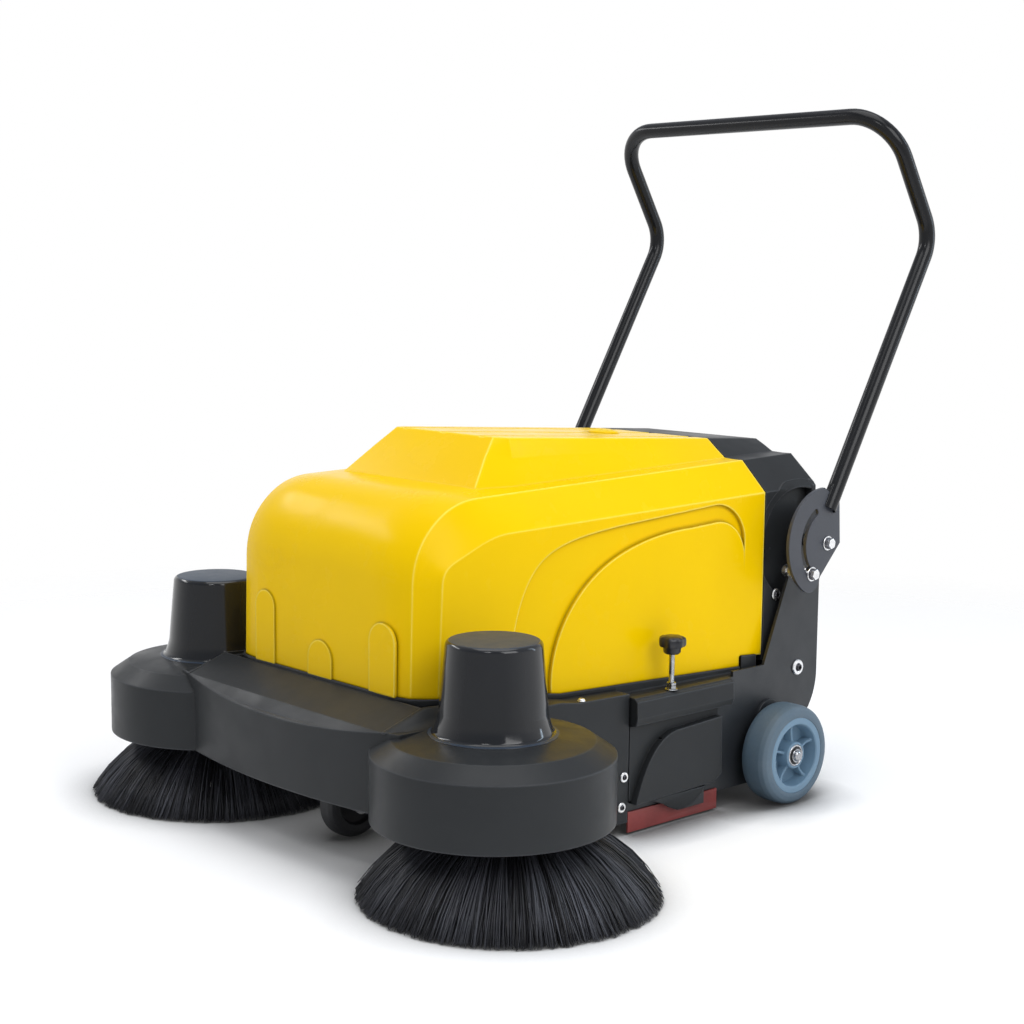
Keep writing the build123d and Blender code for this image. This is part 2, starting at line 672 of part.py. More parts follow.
with BuildPart() as caster_fork:
    add(rod_z(0, CASTER_Y, 118, 127.2, 29))
    add(box(-24, 24, CASTER_Y - 18, CASTER_Y + 44, 114, 118.5))
    for side in (-1, 1):
        with BuildSketch(Plane.YZ.offset(20 if side > 0 else -24)):
            with BuildLine():
                Polyline(
                    (CASTER_Y - 18, 118),
                    (CASTER_Y + 44, 118),
                    (CASTER_WHEEL_Y + 13, CASTER_R - 8),
                    (CASTER_WHEEL_Y - 13, CASTER_R - 8),
                    close=True,
                )
            make_face()
        extrude(amount=4)
        with BuildSketch(Plane.YZ.offset(20 if side > 0 else -24)):
            with Locations((CASTER_WHEEL_Y, CASTER_R)):
                Circle(14)
        extrude(amount=4)
    add(rod_z(0, CASTER_Y, 100, 130, 5.9 + 0.1), mode=Mode.SUBTRACT)
    add(rod_z(0, CASTER_Y, 100, 113.9, 13), mode=Mode.SUBTRACT)
    add(rod_x(-30, 30, CASTER_WHEEL_Y, CASTER_R, 5), mode=Mode.SUBTRACT)
save(caster_fork.part, "caster_fork")

with BuildPart() as caster_axle:
    add(rod_x(-25, 25, CASTER_WHEEL_Y, CASTER_R, 5))
    add(hex_x(24, 30, CASTER_WHEEL_Y, CASTER_R, 8.5))
    add(hex_x(-30, -24, CASTER_WHEEL_Y, CASTER_R, 8.5))
save(caster_axle.part, "caster_axle")

with BuildPart() as caster_wheel:
    with BuildSketch(Plane.XY.offset(CASTER_R)):
        with BuildLine():
            near, far = CASTER_WHEEL_Y - 5.1, CASTER_WHEEL_Y - CASTER_R
            Polyline((-18, near), (18, near), (18, near - 12), (15, near - 12))
            Polyline((15, near - 12), (15, far + 6), (10, far))
            Polyline((10, far), (-10, far), (-15, far + 6))
            Polyline((-15, far + 6), (-15, near - 12), (-18, near - 12), (-18, near))
        make_face()
    revolve(axis=Axis((0, CASTER_WHEEL_Y, CASTER_R), (1, 0, 0)))
save(caster_wheel.part, "caster_wheel")

# ---------------------------------------------------------------- main brush and its carriage
ARM_IN, ARM_OUT = 218.0, 224.0
with BuildPart() as roller_core:
    add(rod_x(-ROLLER_HALF, ROLLER_HALF, ROLLER_Y, ROLLER_Z, ROLLER_CORE_R))
    add(rod_x(-ARM_OUT - 21, ARM_OUT + 6, ROLLER_Y, ROLLER_Z, 10))
save(roller_core.part, "roller_core")

BRISTLE_FLUTES = 16
with BuildPart() as roller_bristles:
    with BuildSketch(Plane.YZ.offset(-ROLLER_HALF + 4)):
        with Locations((ROLLER_Y, ROLLER_Z)):
            Circle(ROLLER_R)
            Circle(ROLLER_CORE_R, mode=Mode.SUBTRACT)
            with PolarLocations(ROLLER_R + 4, BRISTLE_FLUTES):
                Circle(9, mode=Mode.SUBTRACT)
    extrude(amount=2 * ROLLER_HALF - 8)
save(roller_bristles.part, "roller_bristles")

with BuildPart() as roller_bearings:
    for x0 in (-ARM_OUT - 3, ARM_IN - 3):
        with BuildSketch(Plane.YZ.offset(x0)):
            with Locations((ROLLER_Y, ROLLER_Z)):
                Circle(19)
                Circle(10.05, mode=Mode.SUBTRACT)
        extrude(amount=12)
save(roller_bearings.part, "roller_bearings")

with BuildPart() as roller_pulley:
    with BuildSketch(Plane.YZ.offset(-ARM_OUT - 20)):
        with Locations((ROLLER_Y, ROLLER_Z)):
            Circle(ROLLER_PULLEY_R)
            Circle(10, mode=Mode.SUBTRACT)
            with PolarLocations(25, 5):
                Circle(7, mode=Mode.SUBTRACT)
    extrude(amount=14)
save(roller_pulley.part, "roller_pulley")

MOTOR_R = 40.0
MOTOR_X0, MOTOR_X1 = -200.0, -70.0
with BuildPart() as main_motor:
    add(rod_x(MOTOR_X0, MOTOR_X1, MOTOR_Y, MOTOR_Z, MOTOR_R))
    add(rod_x(MOTOR_X1, MOTOR_X1 + 12, MOTOR_Y, MOTOR_Z, 26))
    add(rod_x(-ARM_IN, MOTOR_X0, MOTOR_Y, MOTOR_Z, 22))
    add(rod_x(-ARM_IN - 1, MOTOR_X0 + 10, MOTOR_Y, MOTOR_Z, 9), mode=Mode.SUBTRACT)
save(main_motor.part, "main_motor")

with BuildPart() as motor_pulley:
    add(rod_x(-ARM_OUT - 20, MOTOR_X0 + 9, MOTOR_Y, MOTOR_Z, 7))
    add(rod_x(-ARM_OUT - 20, -ARM_OUT - 6, MOTOR_Y, MOTOR_Z, MOTOR_PULLEY_R))
save(motor_pulley.part, "motor_pulley")


def belt_loop(extra):
    """Outline round both pulleys, extra outside their rims."""
    big, small = ROLLER_PULLEY_R + extra, MOTOR_PULLEY_R + extra
    run_y, run_z = MOTOR_Y - ROLLER_Y, MOTOR_Z - ROLLER_Z
    span = hypot(run_y, run_z)
    lean = acos((big - small) / span)
    along = Vector(run_y / span, run_z / span)
    with BuildSketch(Plane.YZ.offset(-ARM_OUT - 18)) as loop:
        with Locations((ROLLER_Y, ROLLER_Z)):
            Circle(big)
        with Locations((MOTOR_Y, MOTOR_Z)):
            Circle(small)
        corners = []
        for turn in (lean, -lean):
            way = along.rotate(Axis.Z, degrees(turn))
            corners.append((ROLLER_Y + way.X * big, ROLLER_Z + way.Y * big))
            corners.append((MOTOR_Y + way.X * small, MOTOR_Z + way.Y * small))
        with BuildLine():
            Polyline(corners[0], corners[1], corners[3], corners[2], close=True)
        make_face()
    return loop.sketch


with BuildPart() as drive_belt:
    add(extrude(belt_loop(0.4 + BELT_T), amount=10, mode=Mode.PRIVATE))
    add(extrude(belt_loop(0.4), amount=10, mode=Mode.PRIVATE), mode=Mode.SUBTRACT)
save(drive_belt.part, "drive_belt")

LUG_Z0, LUG_Z1 = 165.0, 175.0
with BuildPart() as carriage:
    for side in (-1, 1):
        with BuildSketch(Plane.YZ.offset(ARM_IN if side > 0 else -ARM_OUT)):
            with BuildLine():
                Polyline(
                    (MOTOR_Y - 40, MOTOR_Z - 26),
                    (MOTOR_Y - 40, MOTOR_Z + 26),
                    (MOTOR_Y + 34, MOTOR_Z + 28),
                    (ROLLER_Y + 26, LUG_Z1),
                    (ROLLER_Y + 30, ROLLER_Z - 22),
                    (ROLLER_Y - 18, ROLLER_Z - 34),
                    close=True,
                )
            make_face()
            with Locations((ROLLER_Y, ROLLER_Z)):
                Circle(19, mode=Mode.SUBTRACT)
            with Locations((MOTOR_Y, MOTOR_Z)):
                Circle(9, mode=Mode.SUBTRACT)
        extrude(amount=ARM_OUT - ARM_IN)
        lug = sorted((side * ARM_OUT, side * (KNOB_X + 5.5)))
        add(box(*lug, KNOB_Y - 10, KNOB_Y + 10, LUG_Z0, LUG_Z1))
        add(rod_z(side * KNOB_X, KNOB_Y, 150, 190, ROD_R + 0.1), mode=Mode.SUBTRACT)
    add(box(-ARM_IN, ARM_IN, MOTOR_Y - 40, MOTOR_Y - 36, MOTOR_Z - 20, MOTOR_Z + 10))
    with Locations((-135, MOTOR_Y - 38, MOTOR_Z)):
        Box(140, 6, 60, mode=Mode.SUBTRACT)
    add(box(-209, -61, MOTOR_Y - 52, MOTOR_Y - 41, MOTOR_Z - 20, MOTOR_Z - 12))
    add(box(-209, -203, MOTOR_Y - 52, MOTOR_Y - 36, MOTOR_Z - 20, MOTOR_Z + 10))
    add(box(-67, -61, MOTOR_Y - 52, MOTOR_Y - 36, MOTOR_Z - 20, MOTOR_Z + 10))
save(carriage.part, "brush_carriage")

# ---------------------------------------------------------------- brush height adjusters
KNOB_R = 20.0
KNOB_Z = 262.0
with BuildPart() as knob:
    with BuildSketch(Plane.XY.offset(KNOB_Z)):
        with Locations((KNOB_X, KNOB_Y)):
            Circle(KNOB_R - 3)
            with PolarLocations(KNOB_R - 6.5, 6):
                Circle(6.5)
    extrude(amount=15)
    with Locations((KNOB_X, KNOB_Y, KNOB_Z - 6)):
        Cylinder(12, 13)
both_sides(knob.part, "height_knob")

with BuildPart() as rod:
    add(rod_z(KNOB_X, KNOB_Y, 161.5, KNOB_Z - 12.5, ROD_R))
    with BuildSketch(Plane.XY.offset(ROLL_TOP + 2.4)):
        with Locations((KNOB_X, KNOB_Y)):
            RegularPolygon(8, 6)
    extrude(amount=7)
    add(rod_z(KNOB_X, KNOB_Y, ROLL_TOP + 0.4, ROLL_TOP + 2.4, 9.5))
    add(rod_z(KNOB_X, KNOB_Y, 189, 193, 7))
both_sides(rod.part, "adjuster_rod")

# ---------------------------------------------------------------- hopper
with BuildPart() as hopper:
    add(box(-HOPPER_X, HOPPER_X, HOPPER_FRONT, HOPPER_REAR, HOPPER_BOTTOM, HOPPER_TOP))
    wall = 3.0
    add(
        box(
            wall - HOPPER_X,
            HOPPER_X - wall,
            HOPPER_FRONT + wall,
            HOPPER_REAR - wall,
            HOPPER_BOTTOM + wall,
            HOPPER_TOP + 1,
        ),
        mode=Mode.SUBTRACT,
    )
    # the front wall is a low lip that the main brush throws over
    add(
        box(wall - HOPPER_X, HOPPER_X - wall, HOPPER_FRONT - 1, 140, 64, HOPPER_TOP + 1),
        mode=Mode.SUBTRACT,
    )
    for side in (-1, 1):
        add(
            box(
                *sorted((side * HOPPER_X, side * (HOPPER_X + 8))),
                HOPPER_FRONT,
                HOPPER_REAR - 4,
                HOPPER_TOP - 6,
                HOPPER_TOP - 2,
            )
        )
save(hopper.part, "hopper")

with BuildPart() as hopper_handle:
    for side in (-1, 1):
        add(box(side * 70 - 7, side * 70 + 7, HOPPER_REAR, HOPPER_REAR + 26, 112, 130))
    add(box(-77, 77, HOPPER_REAR + 14, HOPPER_REAR + 28, 110, 132))
save(hopper_handle.part, "hopper_handle")

with BuildPart() as hopper_rails:
    for side in (-1, 1):
        add(
            box(
                *sorted((side * (HOPPER_X + 3), side * PLATE_IN)),
                HOPPER_FRONT + 6,
                HOPPER_REAR - 4,
                HOPPER_TOP - 12,
                HOPPER_TOP - 6.3,
            )
        )
save(hopper_rails.part, "hopper_rails")

# ---------------------------------------------------------------- battery and electrics
BATTERY_Z = PLATFORM_Z + 4
with BuildPart() as batteries:
    for side in (-1, 1):
        add(box(side * 88 - 84, side * 88 + 84, -300, -40, BATTERY_Z + 3, BATTERY_Z + 213))
        add(box(side * 88 - 80, side * 88 + 80, -296, -44, BATTERY_Z + 213, BATTERY_Z + 219))
        for post_x in (side * 88 - 52, side * 88 + 52):
            add(rod_z(post_x, -270, BATTERY_Z + 219, BATTERY_Z + 231, 8))
save(batteries.part, "batteries")

with BuildPart() as battery_tray:
    add(box(-178, 178, -306, -34, BATTERY_Z, BATTERY_Z + 3))
    for x0, x1, y0, y1 in (
        (-178, -175, -306, -34),
        (175, 178, -306, -34),
        (-178, 178, -306, -303),
        (-178, 178, -37, -34),
    ):
        add(box(x0, x1, y0, y1, BATTERY_Z, BATTERY_Z + 26))
save(battery_tray.part, "battery_tray")

with BuildPart() as battery_strap:
    add(box(-186, 186, -186, -154, BATTERY_Z + 219, BATTERY_Z + 222))
    for side in (-1, 1):
        add(box(*sorted((side * 183, side * 186)), -186, -154, BATTERY_Z, BATTERY_Z + 222))
save(battery_strap.part, "battery_strap")

with BuildPart() as controller:
    add(box(-70, 70, 40, 190, BATTERY_Z, BATTERY_Z + 60))
    for fin in range(9):
        add(box(-64 + 15 * fin, -60 + 15 * fin, 46, 184, BATTERY_Z + 60, BATTERY_Z + 72))
save(controller.part, "controller_box")

PANEL_Z = 430.0
with BuildPart() as switch_panel:
    add(box(-92, 92, HOUSING_REAR, HOUSING_REAR + 3, PANEL_Z - 42, PANEL_Z + 42))
    add(box(-84, 84, HOUSING_REAR - 6, HOUSING_REAR, PANEL_Z - 34, PANEL_Z + 34))
    for x in (-58, 0):
        add(
            box(x - 14.5, x + 14.5, HOUSING_REAR - 10, HOUSING_REAR + 10, PANEL_Z - 11, PANEL_Z + 11),
            mode=Mode.SUBTRACT,
        )
        add(rod_x(x - 17, x + 17, HOUSING_REAR + 0.5, PANEL_Z, 1.7), mode=Mode.SUBTRACT)
    with Locations(Location((58, HOUSING_REAR, PANEL_Z), (90, 0, 0))):
        Cylinder(11.1, 30, mode=Mode.SUBTRACT)
save(switch_panel.part, "switch_panel")

with BuildPart() as meter:
    add(box(-20, 20, HOUSING_REAR + 3, HOUSING_REAR + 7, PANEL_Z + 18, PANEL_Z + 38))
save(meter.part, "battery_meter")

ROCKER_Y = HOUSING_REAR + 0.5  # their pivot pins lie in the panel
for rocker_name, rocker_x in (("main_brush_switch", -58), ("side_brush_switch", 0)):
    with BuildPart() as rocker:
        with BuildSketch(Plane.YZ.offset(rocker_x - 14)):
            with BuildLine():
                Polyline(
                    (ROCKER_Y + 5.5, PANEL_Z - 8.5),
                    (ROCKER_Y + 3.9, PANEL_Z),
                    (ROCKER_Y + 5.5, PANEL_Z + 8.5),
                    (ROCKER_Y - 5, PANEL_Z + 6),
                    (ROCKER_Y - 5, PANEL_Z - 6),
                    close=True,
                )
            make_face()
        extrude(amount=28)
        add(rod_x(rocker_x - 16.5, rocker_x + 16.5, HOUSING_REAR + 0.5, PANEL_Z, 1.5))
    save(rocker.part, rocker_name)

with BuildPart() as key_switch:
    with Locations(Location((58, HOUSING_REAR - 8, PANEL_Z), (90, 0, 0))):
        Cylinder(11, 30)
    add(box(56.8, 59.2, HOUSING_REAR + 7, HOUSING_REAR + 36, PANEL_Z - 4, PANEL_Z + 4))
    add(box(56.8, 59.2, HOUSING_REAR + 16, HOUSING_REAR + 36, PANEL_Z - 11, PANEL_Z + 11))
save(key_switch.part, "key_switch")

SOCKET_X, SOCKET_Z = 120.0, 300.0
with BuildPart() as charge_socket:
    with Locations(Location((SOCKET_X, HOUSING_REAR + 1.5, SOCKET_Z), (90, 0, 0))):
        Cylinder(22, 3)
    with Locations(Location((SOCKET_X, HOUSING_REAR - 2, SOCKET_Z), (90, 0, 0))):
        Cylinder(16.8, 36)
    # the plug's bore, and three contact holes in its floor
    with Locations(Location((SOCKET_X, HOUSING_REAR + 10, SOCKET_Z), (90, 0, 0))):
        Cylinder(14, 18, mode=Mode.SUBTRACT)
    with Locations(Location((SOCKET_X, HOUSING_REAR, SOCKET_Z), (90, 0, 0))):
        with PolarLocations(6, 3):
            Cylinder(2.5, 16, mode=Mode.SUBTRACT)
save(charge_socket.part, "charge_socket")

# ---------------------------------------------------------------- folding handle
LOWER_END = Vector(TUBE_X, 312, 436)
LOWER_BEND = Vector(TUBE_X, 550.0, 846.0)
TOP_CORNER = Vector(TUBE_X - 3, 437.5, 1028.5)

slot_centre = CenterArc((PIVOT_Y, PIVOT_Z), SLOT_R, 121, 109.5)
with BuildPart() as handle_plate:
    with BuildSketch(Plane.YZ.offset(HANDLE_PLATE_IN)):
        with BuildLine():
            ThreePointArc((300, 470), (219.5, 392), (256, 318))
            ThreePointArc((256, 318), (276, 314), (294, 334))
            Polyline((294, 334), (341, 383), (337, 448), (300, 470))
        make_face()
        with Locations((PIVOT_Y, PIVOT_Z)):
            Circle(5.6, mode=Mode.SUBTRACT)
        # slot that the lock bolt runs in while the handle folds
        SlotArc(slot_centre, 11.2, mode=Mode.SUBTRACT)
    extrude(amount=HANDLE_PLATE_OUT - HANDLE_PLATE_IN)

with BuildPart() as handle_tube:
    with BuildLine() as handle_path:
        mirrored = [Vector(-p.X, p.Y, p.Z) for p in (TOP_CORNER, LOWER_BEND, LOWER_END)]
        FilletPolyline(LOWER_END, LOWER_BEND, TOP_CORNER, *mirrored, radius=[60, 75, 75, 60])
    with BuildSketch(Plane(origin=LOWER_END, z_dir=LOWER_BEND - LOWER_END)):
        Circle(TUBE_R)
        Circle(TUBE_R - 2, mode=Mode.SUBTRACT)
    sweep()
    # the tube's ends are slit and straddle the plates
    for side in (-1, 1):
        slit = sorted((side * HANDLE_PLATE_IN, side * HANDLE_PLATE_OUT))
        add(box(*slit, 290, 360, 400, 472), mode=Mode.SUBTRACT)
save(handle_tube.part, "handle_tube")
save_pair(handle_plate.part, "handle_plates")

with BuildPart() as handle_bolts:
    for side in (-1, 1):
        for y, z in ((PIVOT_Y, PIVOT_Z), (LOCK_Y, LOCK_Z)):
            spacer_out = HANDLE_PLATE_IN - GAP
            head = HANDLE_PLATE_OUT + GAP
            add(rod_x(*sorted((side * 240, side * (head + 2))), y, z, 5.0))
            add(rod_x(*sorted((side * PLATE_OUT, side * spacer_out)), y, z, 11))
            add(rod_x(*sorted((side * head, side * (head + 2))), y, z, 11))
            add(hex_x(*sorted((side * (head + 2), side * (head + 9))), y, z, 8))
            add(hex_x(*sorted((side * 240, side * PLATE_IN)), y, z, 9))
save(handle_bolts.part, "handle_bolts")


def side_x(y):
    """Where the tapered side of the hood and housing lies at y."""
    taper = (SIDE_REAR_X - SIDE_FRONT_X) / (HOOD_REAR - SIDE_FRONT_Y)
    return SIDE_REAR_X + (y - HOOD_REAR) * taper


with BuildPart() as cover_fasteners:
    for (y, z), washer_r, seat_x in (
        (PLATE_BOLT, 9, PLATE_OUT),
        (SKIRT_BOLTS[0], 6.5, COVER_OUT),
        (SKIRT_BOLTS[1], 6.5, COVER_OUT),
    ):
        add(rod_x(seat_x, seat_x + 2, y, z, washer_r))
        add(hex_x(seat_x + 2, seat_x + 6, y, z, 0.62 * washer_r))
        add(rod_x(PLATE_IN, seat_x, y, z, 4.0))
    for y, z, head_r in ((258, 305, 7), (242, 377, 2.5)):
        add(rod_x(side_x(y) + 0.6, side_x(y) + 3.6, y, z, head_r))
save_pair(cover_fasteners.part, "cover_fasteners")

whole = Compound(children=pieces).bounding_box()
print("whole object", whole.min, whole.max, "y centre", (whole.min.Y + whole.max.Y) / 2)
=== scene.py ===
"""Looks of the walk-behind sweeper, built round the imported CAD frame.

Metres, +Z up, -Y the way the machine travels, +X its left-hand side. Most CAD nodes stay and get
soft moulded edges and a material. Wheels, bristles, knobs, hardware, the handle tube and the
motor domes are built here in full and replace their CAD nodes. Small trim with no CAD node of its
own rides on the body that it is fixed to.
"""

import json
import math
import random

import bmesh
import bpy
from mathutils import Matrix, Vector


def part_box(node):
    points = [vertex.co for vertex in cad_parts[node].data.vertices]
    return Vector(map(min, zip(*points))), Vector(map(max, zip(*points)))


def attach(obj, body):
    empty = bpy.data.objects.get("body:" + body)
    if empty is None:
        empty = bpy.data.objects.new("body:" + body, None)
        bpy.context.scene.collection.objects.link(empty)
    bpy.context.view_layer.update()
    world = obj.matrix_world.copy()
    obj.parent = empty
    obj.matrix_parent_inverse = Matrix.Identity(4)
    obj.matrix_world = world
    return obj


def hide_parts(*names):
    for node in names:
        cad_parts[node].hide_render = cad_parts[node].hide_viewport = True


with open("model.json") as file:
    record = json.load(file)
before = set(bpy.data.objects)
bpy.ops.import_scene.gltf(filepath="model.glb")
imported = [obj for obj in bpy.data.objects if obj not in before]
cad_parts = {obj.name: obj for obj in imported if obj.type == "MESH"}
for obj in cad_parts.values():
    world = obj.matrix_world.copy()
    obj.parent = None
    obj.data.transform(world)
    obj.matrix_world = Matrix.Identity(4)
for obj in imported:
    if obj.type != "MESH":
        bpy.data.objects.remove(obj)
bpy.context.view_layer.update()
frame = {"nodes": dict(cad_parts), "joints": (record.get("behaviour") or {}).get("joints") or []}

MM = 0.001
TAU = 2 * math.pi
JOINT_AT = {j["name"]: Vector(j["pos_m"]) for j in frame["joints"] if "pos_m" in j}
SIDES = (("left", 1), ("right", -1))


def add_object(name, data):
    """Make an object and put it in the scene."""
    obj = bpy.data.objects.new(name, data)
    bpy.context.scene.collection.objects.link(obj)
    return obj


# ------------------------ material helpers
def new_node(nodes, kind, inputs=None, operation=None):
    """A shader node with the given values on its inputs."""
    node = nodes.new("ShaderNode" + kind)
    if operation:
        node.operation = operation
    for name, value in (inputs or {}).items():
        node.inputs[name].default_value = value
    return node


class Shader:
    """A Principled material with small helpers for procedural detail in object space."""

    def __init__(self, name, roughness, metallic=0.0, coat=0.0, coat_roughness=0.1, specular=0.5):
        self.material = bpy.data.materials.new(name)
        self.material.use_nodes = True
        self.nodes = self.material.node_tree.nodes
        self.links = self.material.node_tree.links
        self.principled = self.nodes["Principled BSDF"]
        self.set("Roughness", roughness)
        self.set("Metallic", metallic)
        self.set("Coat Weight", coat)
        self.set("Coat Roughness", coat_roughness)
        self.set("Specular IOR Level", specular)
        self.place = self.new("TexCoord").outputs["Object"]

    def set(self, socket, value):
        self.principled.inputs[socket].default_value = value

    def new(self, kind, inputs=None, operation=None):
        return new_node(self.nodes, kind, inputs, operation)

    def noise(self, scale, detail=4.0, roughness=0.55, stretch=None):
        """Noise in object space, scale per metre, optionally stretched along the axes."""
        place = self.place
        if stretch:
            mapping = self.new("Mapping", {"Scale": stretch})
            self.links.new(place, mapping.inputs["Vector"])
            place = mapping.outputs["Vector"]
        node = self.new("TexNoise", {"Scale": scale, "Detail": detail, "Roughness": roughness})
        self.links.new(place, node.inputs["Vector"])
        return node.outputs["Fac"]

    def ramp(self, factor, low, high, start=0.3, end=0.7):
        """A colour ramp from low at start to high at end."""
        node = self.new("ValToRGB")
        node.color_ramp.elements[0].position = start
        node.color_ramp.elements[1].position = end
        node.color_ramp.elements[0].color = (*low, 1)
        node.color_ramp.elements[1].color = (*high, 1)
        self.links.new(factor, node.inputs["Fac"])
        return node.outputs["Color"]

    def spread(self, factor, low, high, start=0.3, end=0.7):
        """A value from low to high as factor goes from start to end."""
        node = self.new("MapRange", {"From Min": start, "From Max": end, "To Min": low, "To Max": high})
        self.links.new(factor, node.inputs["Value"])
        return node.outputs["Result"]

    def mix(self, factor, low, high):
        """Mix two colours (sockets or tuples) by a factor socket."""
        node = self.new("Mix")
        node.data_type = "RGBA"
        self.links.new(factor, node.inputs[0])
        for socket, value in ((node.inputs[6], low), (node.inputs[7], high)):
            if isinstance(value, tuple):
                socket.default_value = (*value, 1)
            else:
                self.links.new(value, socket)
        return node.outputs[2]

    def colour(self, socket):
        self.links.new(socket, self.principled.inputs["Base Color"])

    def rough(self, factor, low, high):
        """Roughness that varies from low to high."""
        self.links.new(self.spread(factor, low, high), self.principled.inputs["Roughness"])

    def round_edges(self, radius):
        """Shade edges as if rounded to the radius, and return a mask of where that happens."""
        bevel = self.new("Bevel", {"Radius": radius})
        bevel.samples = 6
        self.links.new(bevel.outputs["Normal"], self.principled.inputs["Normal"])
        true_normal = self.new("NewGeometry").outputs["Normal"]
        dot = self.new("VectorMath", operation="DOT_PRODUCT")
        self.links.new(bevel.outputs["Normal"], dot.inputs[0])
        self.links.new(true_normal, dot.inputs[1])
        return self.spread(dot.outputs["Value"], 1, 0, 0.955, 0.997)

    def openness(self, distance):
        """Near 1 in the open and on ridges, falling in seams and corners."""
        node = self.new("AmbientOcclusion", {"Distance": distance})
        node.samples = 10
        return node.outputs["AO"]

    def times(self, a, b):
        node = self.new("Math", operation="MULTIPLY")
        self.links.new(a, node.inputs[0])
        self.links.new(b, node.inputs[1])
        return node.outputs["Value"]

    def bump(self, height, depth):
        """Add a bump of the given depth in metres, on top of any that is there."""
        node = self.new("Bump", {"Strength": 1.0, "Distance": depth})
        normal = self.principled.inputs["Normal"]
        if normal.is_linked:
            self.links.new(normal.links[0].from_socket, node.inputs["Normal"])
        self.links.new(height, node.inputs["Height"])
        self.links.new(node.outputs["Normal"], normal)


def linear(r, g, b):
    """Linear colour from 8-bit display values."""
    def one(value):
        value /= 255
        return value / 12.92 if value <= 0.04045 else ((value + 0.055) / 1.055) ** 2.4
    return (one(r), one(g), one(b))


def shade(colour, factor):
    return tuple(channel * factor for channel in colour)


def moulded(name, colour, roughness, coat=0.0, grain=1500, grain_depth=0.00002, mottle=0.08, specular=0.3,
            edge=0.0, edge_highlight_colour=None):
    """Moulded plastic: cloudy colour, uneven gloss, fine grain and rounded edges; with edge set, painted
    shade darkens seams and corners and a painted highlight lightens the edges.
    """
    s = Shader(name, roughness, coat=coat, specular=specular)
    cloud = s.noise(5, 6)
    base = s.ramp(cloud, shade(colour, 1 - mottle), shade(colour, 1 + mottle))
    if edge:
        # Painted shade: the colour darkens towards half its value in seams and corners.
        around = s.openness(0.007)
        base = s.mix(s.spread(around, 0, 1, 0.45, 0.93), shade(colour, 0.5), base)
        # Painted highlight: a paler colour on rounded convex edges, away from seams.
        ridge = s.times(s.round_edges(edge), s.spread(around, 0, 1, 0.88, 0.97))
        base = s.mix(ridge, base, edge_highlight_colour)
    s.colour(base)
    s.rough(s.noise(16, 5), roughness * 0.82, roughness * 1.25)
    s.bump(s.noise(grain, 2), grain_depth)
    s.bump(s.noise(14, 2), 0.0001)
    return s.material


def coated_metal(name, colour, roughness, peel=0.00004, coat=0.3):
    """Powder coat: orange peel and faint scuffs that lift the colour."""
    s = Shader(name, roughness, coat=coat, coat_roughness=0.15)
    scuff = s.noise(60, 8, 0.7, stretch=(1, 1, 0.25))
    base = s.ramp(s.noise(7, 5), shade(colour, 0.88), shade(colour, 1.12))
    worn = tuple(0.75 * c + 0.03 for c in shade(colour, 1.5))
    s.colour(s.mix(s.spread(scuff, 0, 1, 0.66, 0.74), base, worn))
    s.rough(s.noise(24, 6), roughness * 0.8, roughness * 1.3)
    s.bump(s.noise(420, 2), peel)
    return s.material


def bare_metal(name, colour, roughness, stretch=(1, 1, 1), dull=0.55):
    """Plated or turned metal: fine brushed lines and duller patches."""
    s = Shader(name, roughness, metallic=1.0)
    patches = s.noise(90, 6, 0.65)
    s.colour(s.ramp(patches, shade(colour, dull), colour, 0.34, 0.56))
    s.rough(s.noise(160, 6, 0.7, stretch), roughness * 0.7, roughness * 1.6)
    s.bump(s.noise(1400, 3, 0.6, stretch), 0.00001)
    return s.material


def rubbery(name, colour, roughness, dust=0.25, grain=700, depth=0.00004):
    """Rubber or polyurethane with settled dust and a matt skin."""
    s = Shader(name, roughness, specular=0.35)
    dusty = tuple(c * 0.6 + 0.12 for c in colour)
    cloud = s.mix(s.spread(s.noise(11, 8, 0.62), 0, dust, 0.42, 0.75), colour, dusty)
    s.colour(s.mix(s.spread(s.noise(230, 3), 0, 0.18), cloud, shade(colour, 0.7)))
    s.rough(s.noise(30, 4), roughness * 0.85, roughness * 1.15)
    s.bump(s.noise(grain, 3), depth)
    return s.material


def glossy_cap(name, colour, sky_reflection_colour):
    """Polished plastic sides under a matt top face, which is painted a paler blue-grey as a painted sky
    reflection.
    """
    s = Shader(name, 0.13, coat=0.2, coat_roughness=0.06, specular=0.32)
    normal = s.new("NewGeometry").outputs["Normal"]
    split = s.new("SeparateXYZ")
    s.links.new(normal, split.inputs["Vector"])
    upward = s.spread(split.outputs["Z"], 0, 1, 0.88, 0.97)
    side = s.ramp(s.noise(6, 6), shade(colour, 0.9), shade(colour, 1.1))
    # Painted reflection: faces that look up take the paler blue-grey colour.
    s.colour(s.mix(upward, side, sky_reflection_colour))
    blend = s.new("Mix")
    s.links.new(upward, blend.inputs[0])
    s.links.new(s.spread(s.noise(18, 5), 0.10, 0.17), blend.inputs[2])
    s.links.new(s.spread(s.noise(40, 6), 0.55, 0.68), blend.inputs[3])
    s.links.new(blend.outputs[0], s.principled.inputs["Roughness"])
    s.bump(s.noise(30, 2), 0.00006)
    return s.material


def filament(name, dark, light):
    """Brush filament: each strand has its own tint, stored on its vertices."""
    s = Shader(name, 0.42, specular=0.45)
    tint = s.new("Attribute")
    tint.attribute_name = "tint"
    s.colour(s.ramp(tint.outputs["Fac"], dark, light, 0.0, 1.0))
    s.rough(s.noise(300, 3), 0.34, 0.55)
    return s.material


def woven(name, colour):
    """Strap webbing: a ribbed weave."""
    s = Shader(name, 0.8, specular=0.2)
    weave = s.new("TexWave", {"Scale": 260, "Distortion": 0.6})
    s.links.new(s.place, weave.inputs["Vector"])
    s.colour(s.ramp(weave.outputs["Fac"], shade(colour, 0.6), shade(colour, 1.3)))
    s.bump(weave.outputs["Fac"], 0.0003)
    return s.material


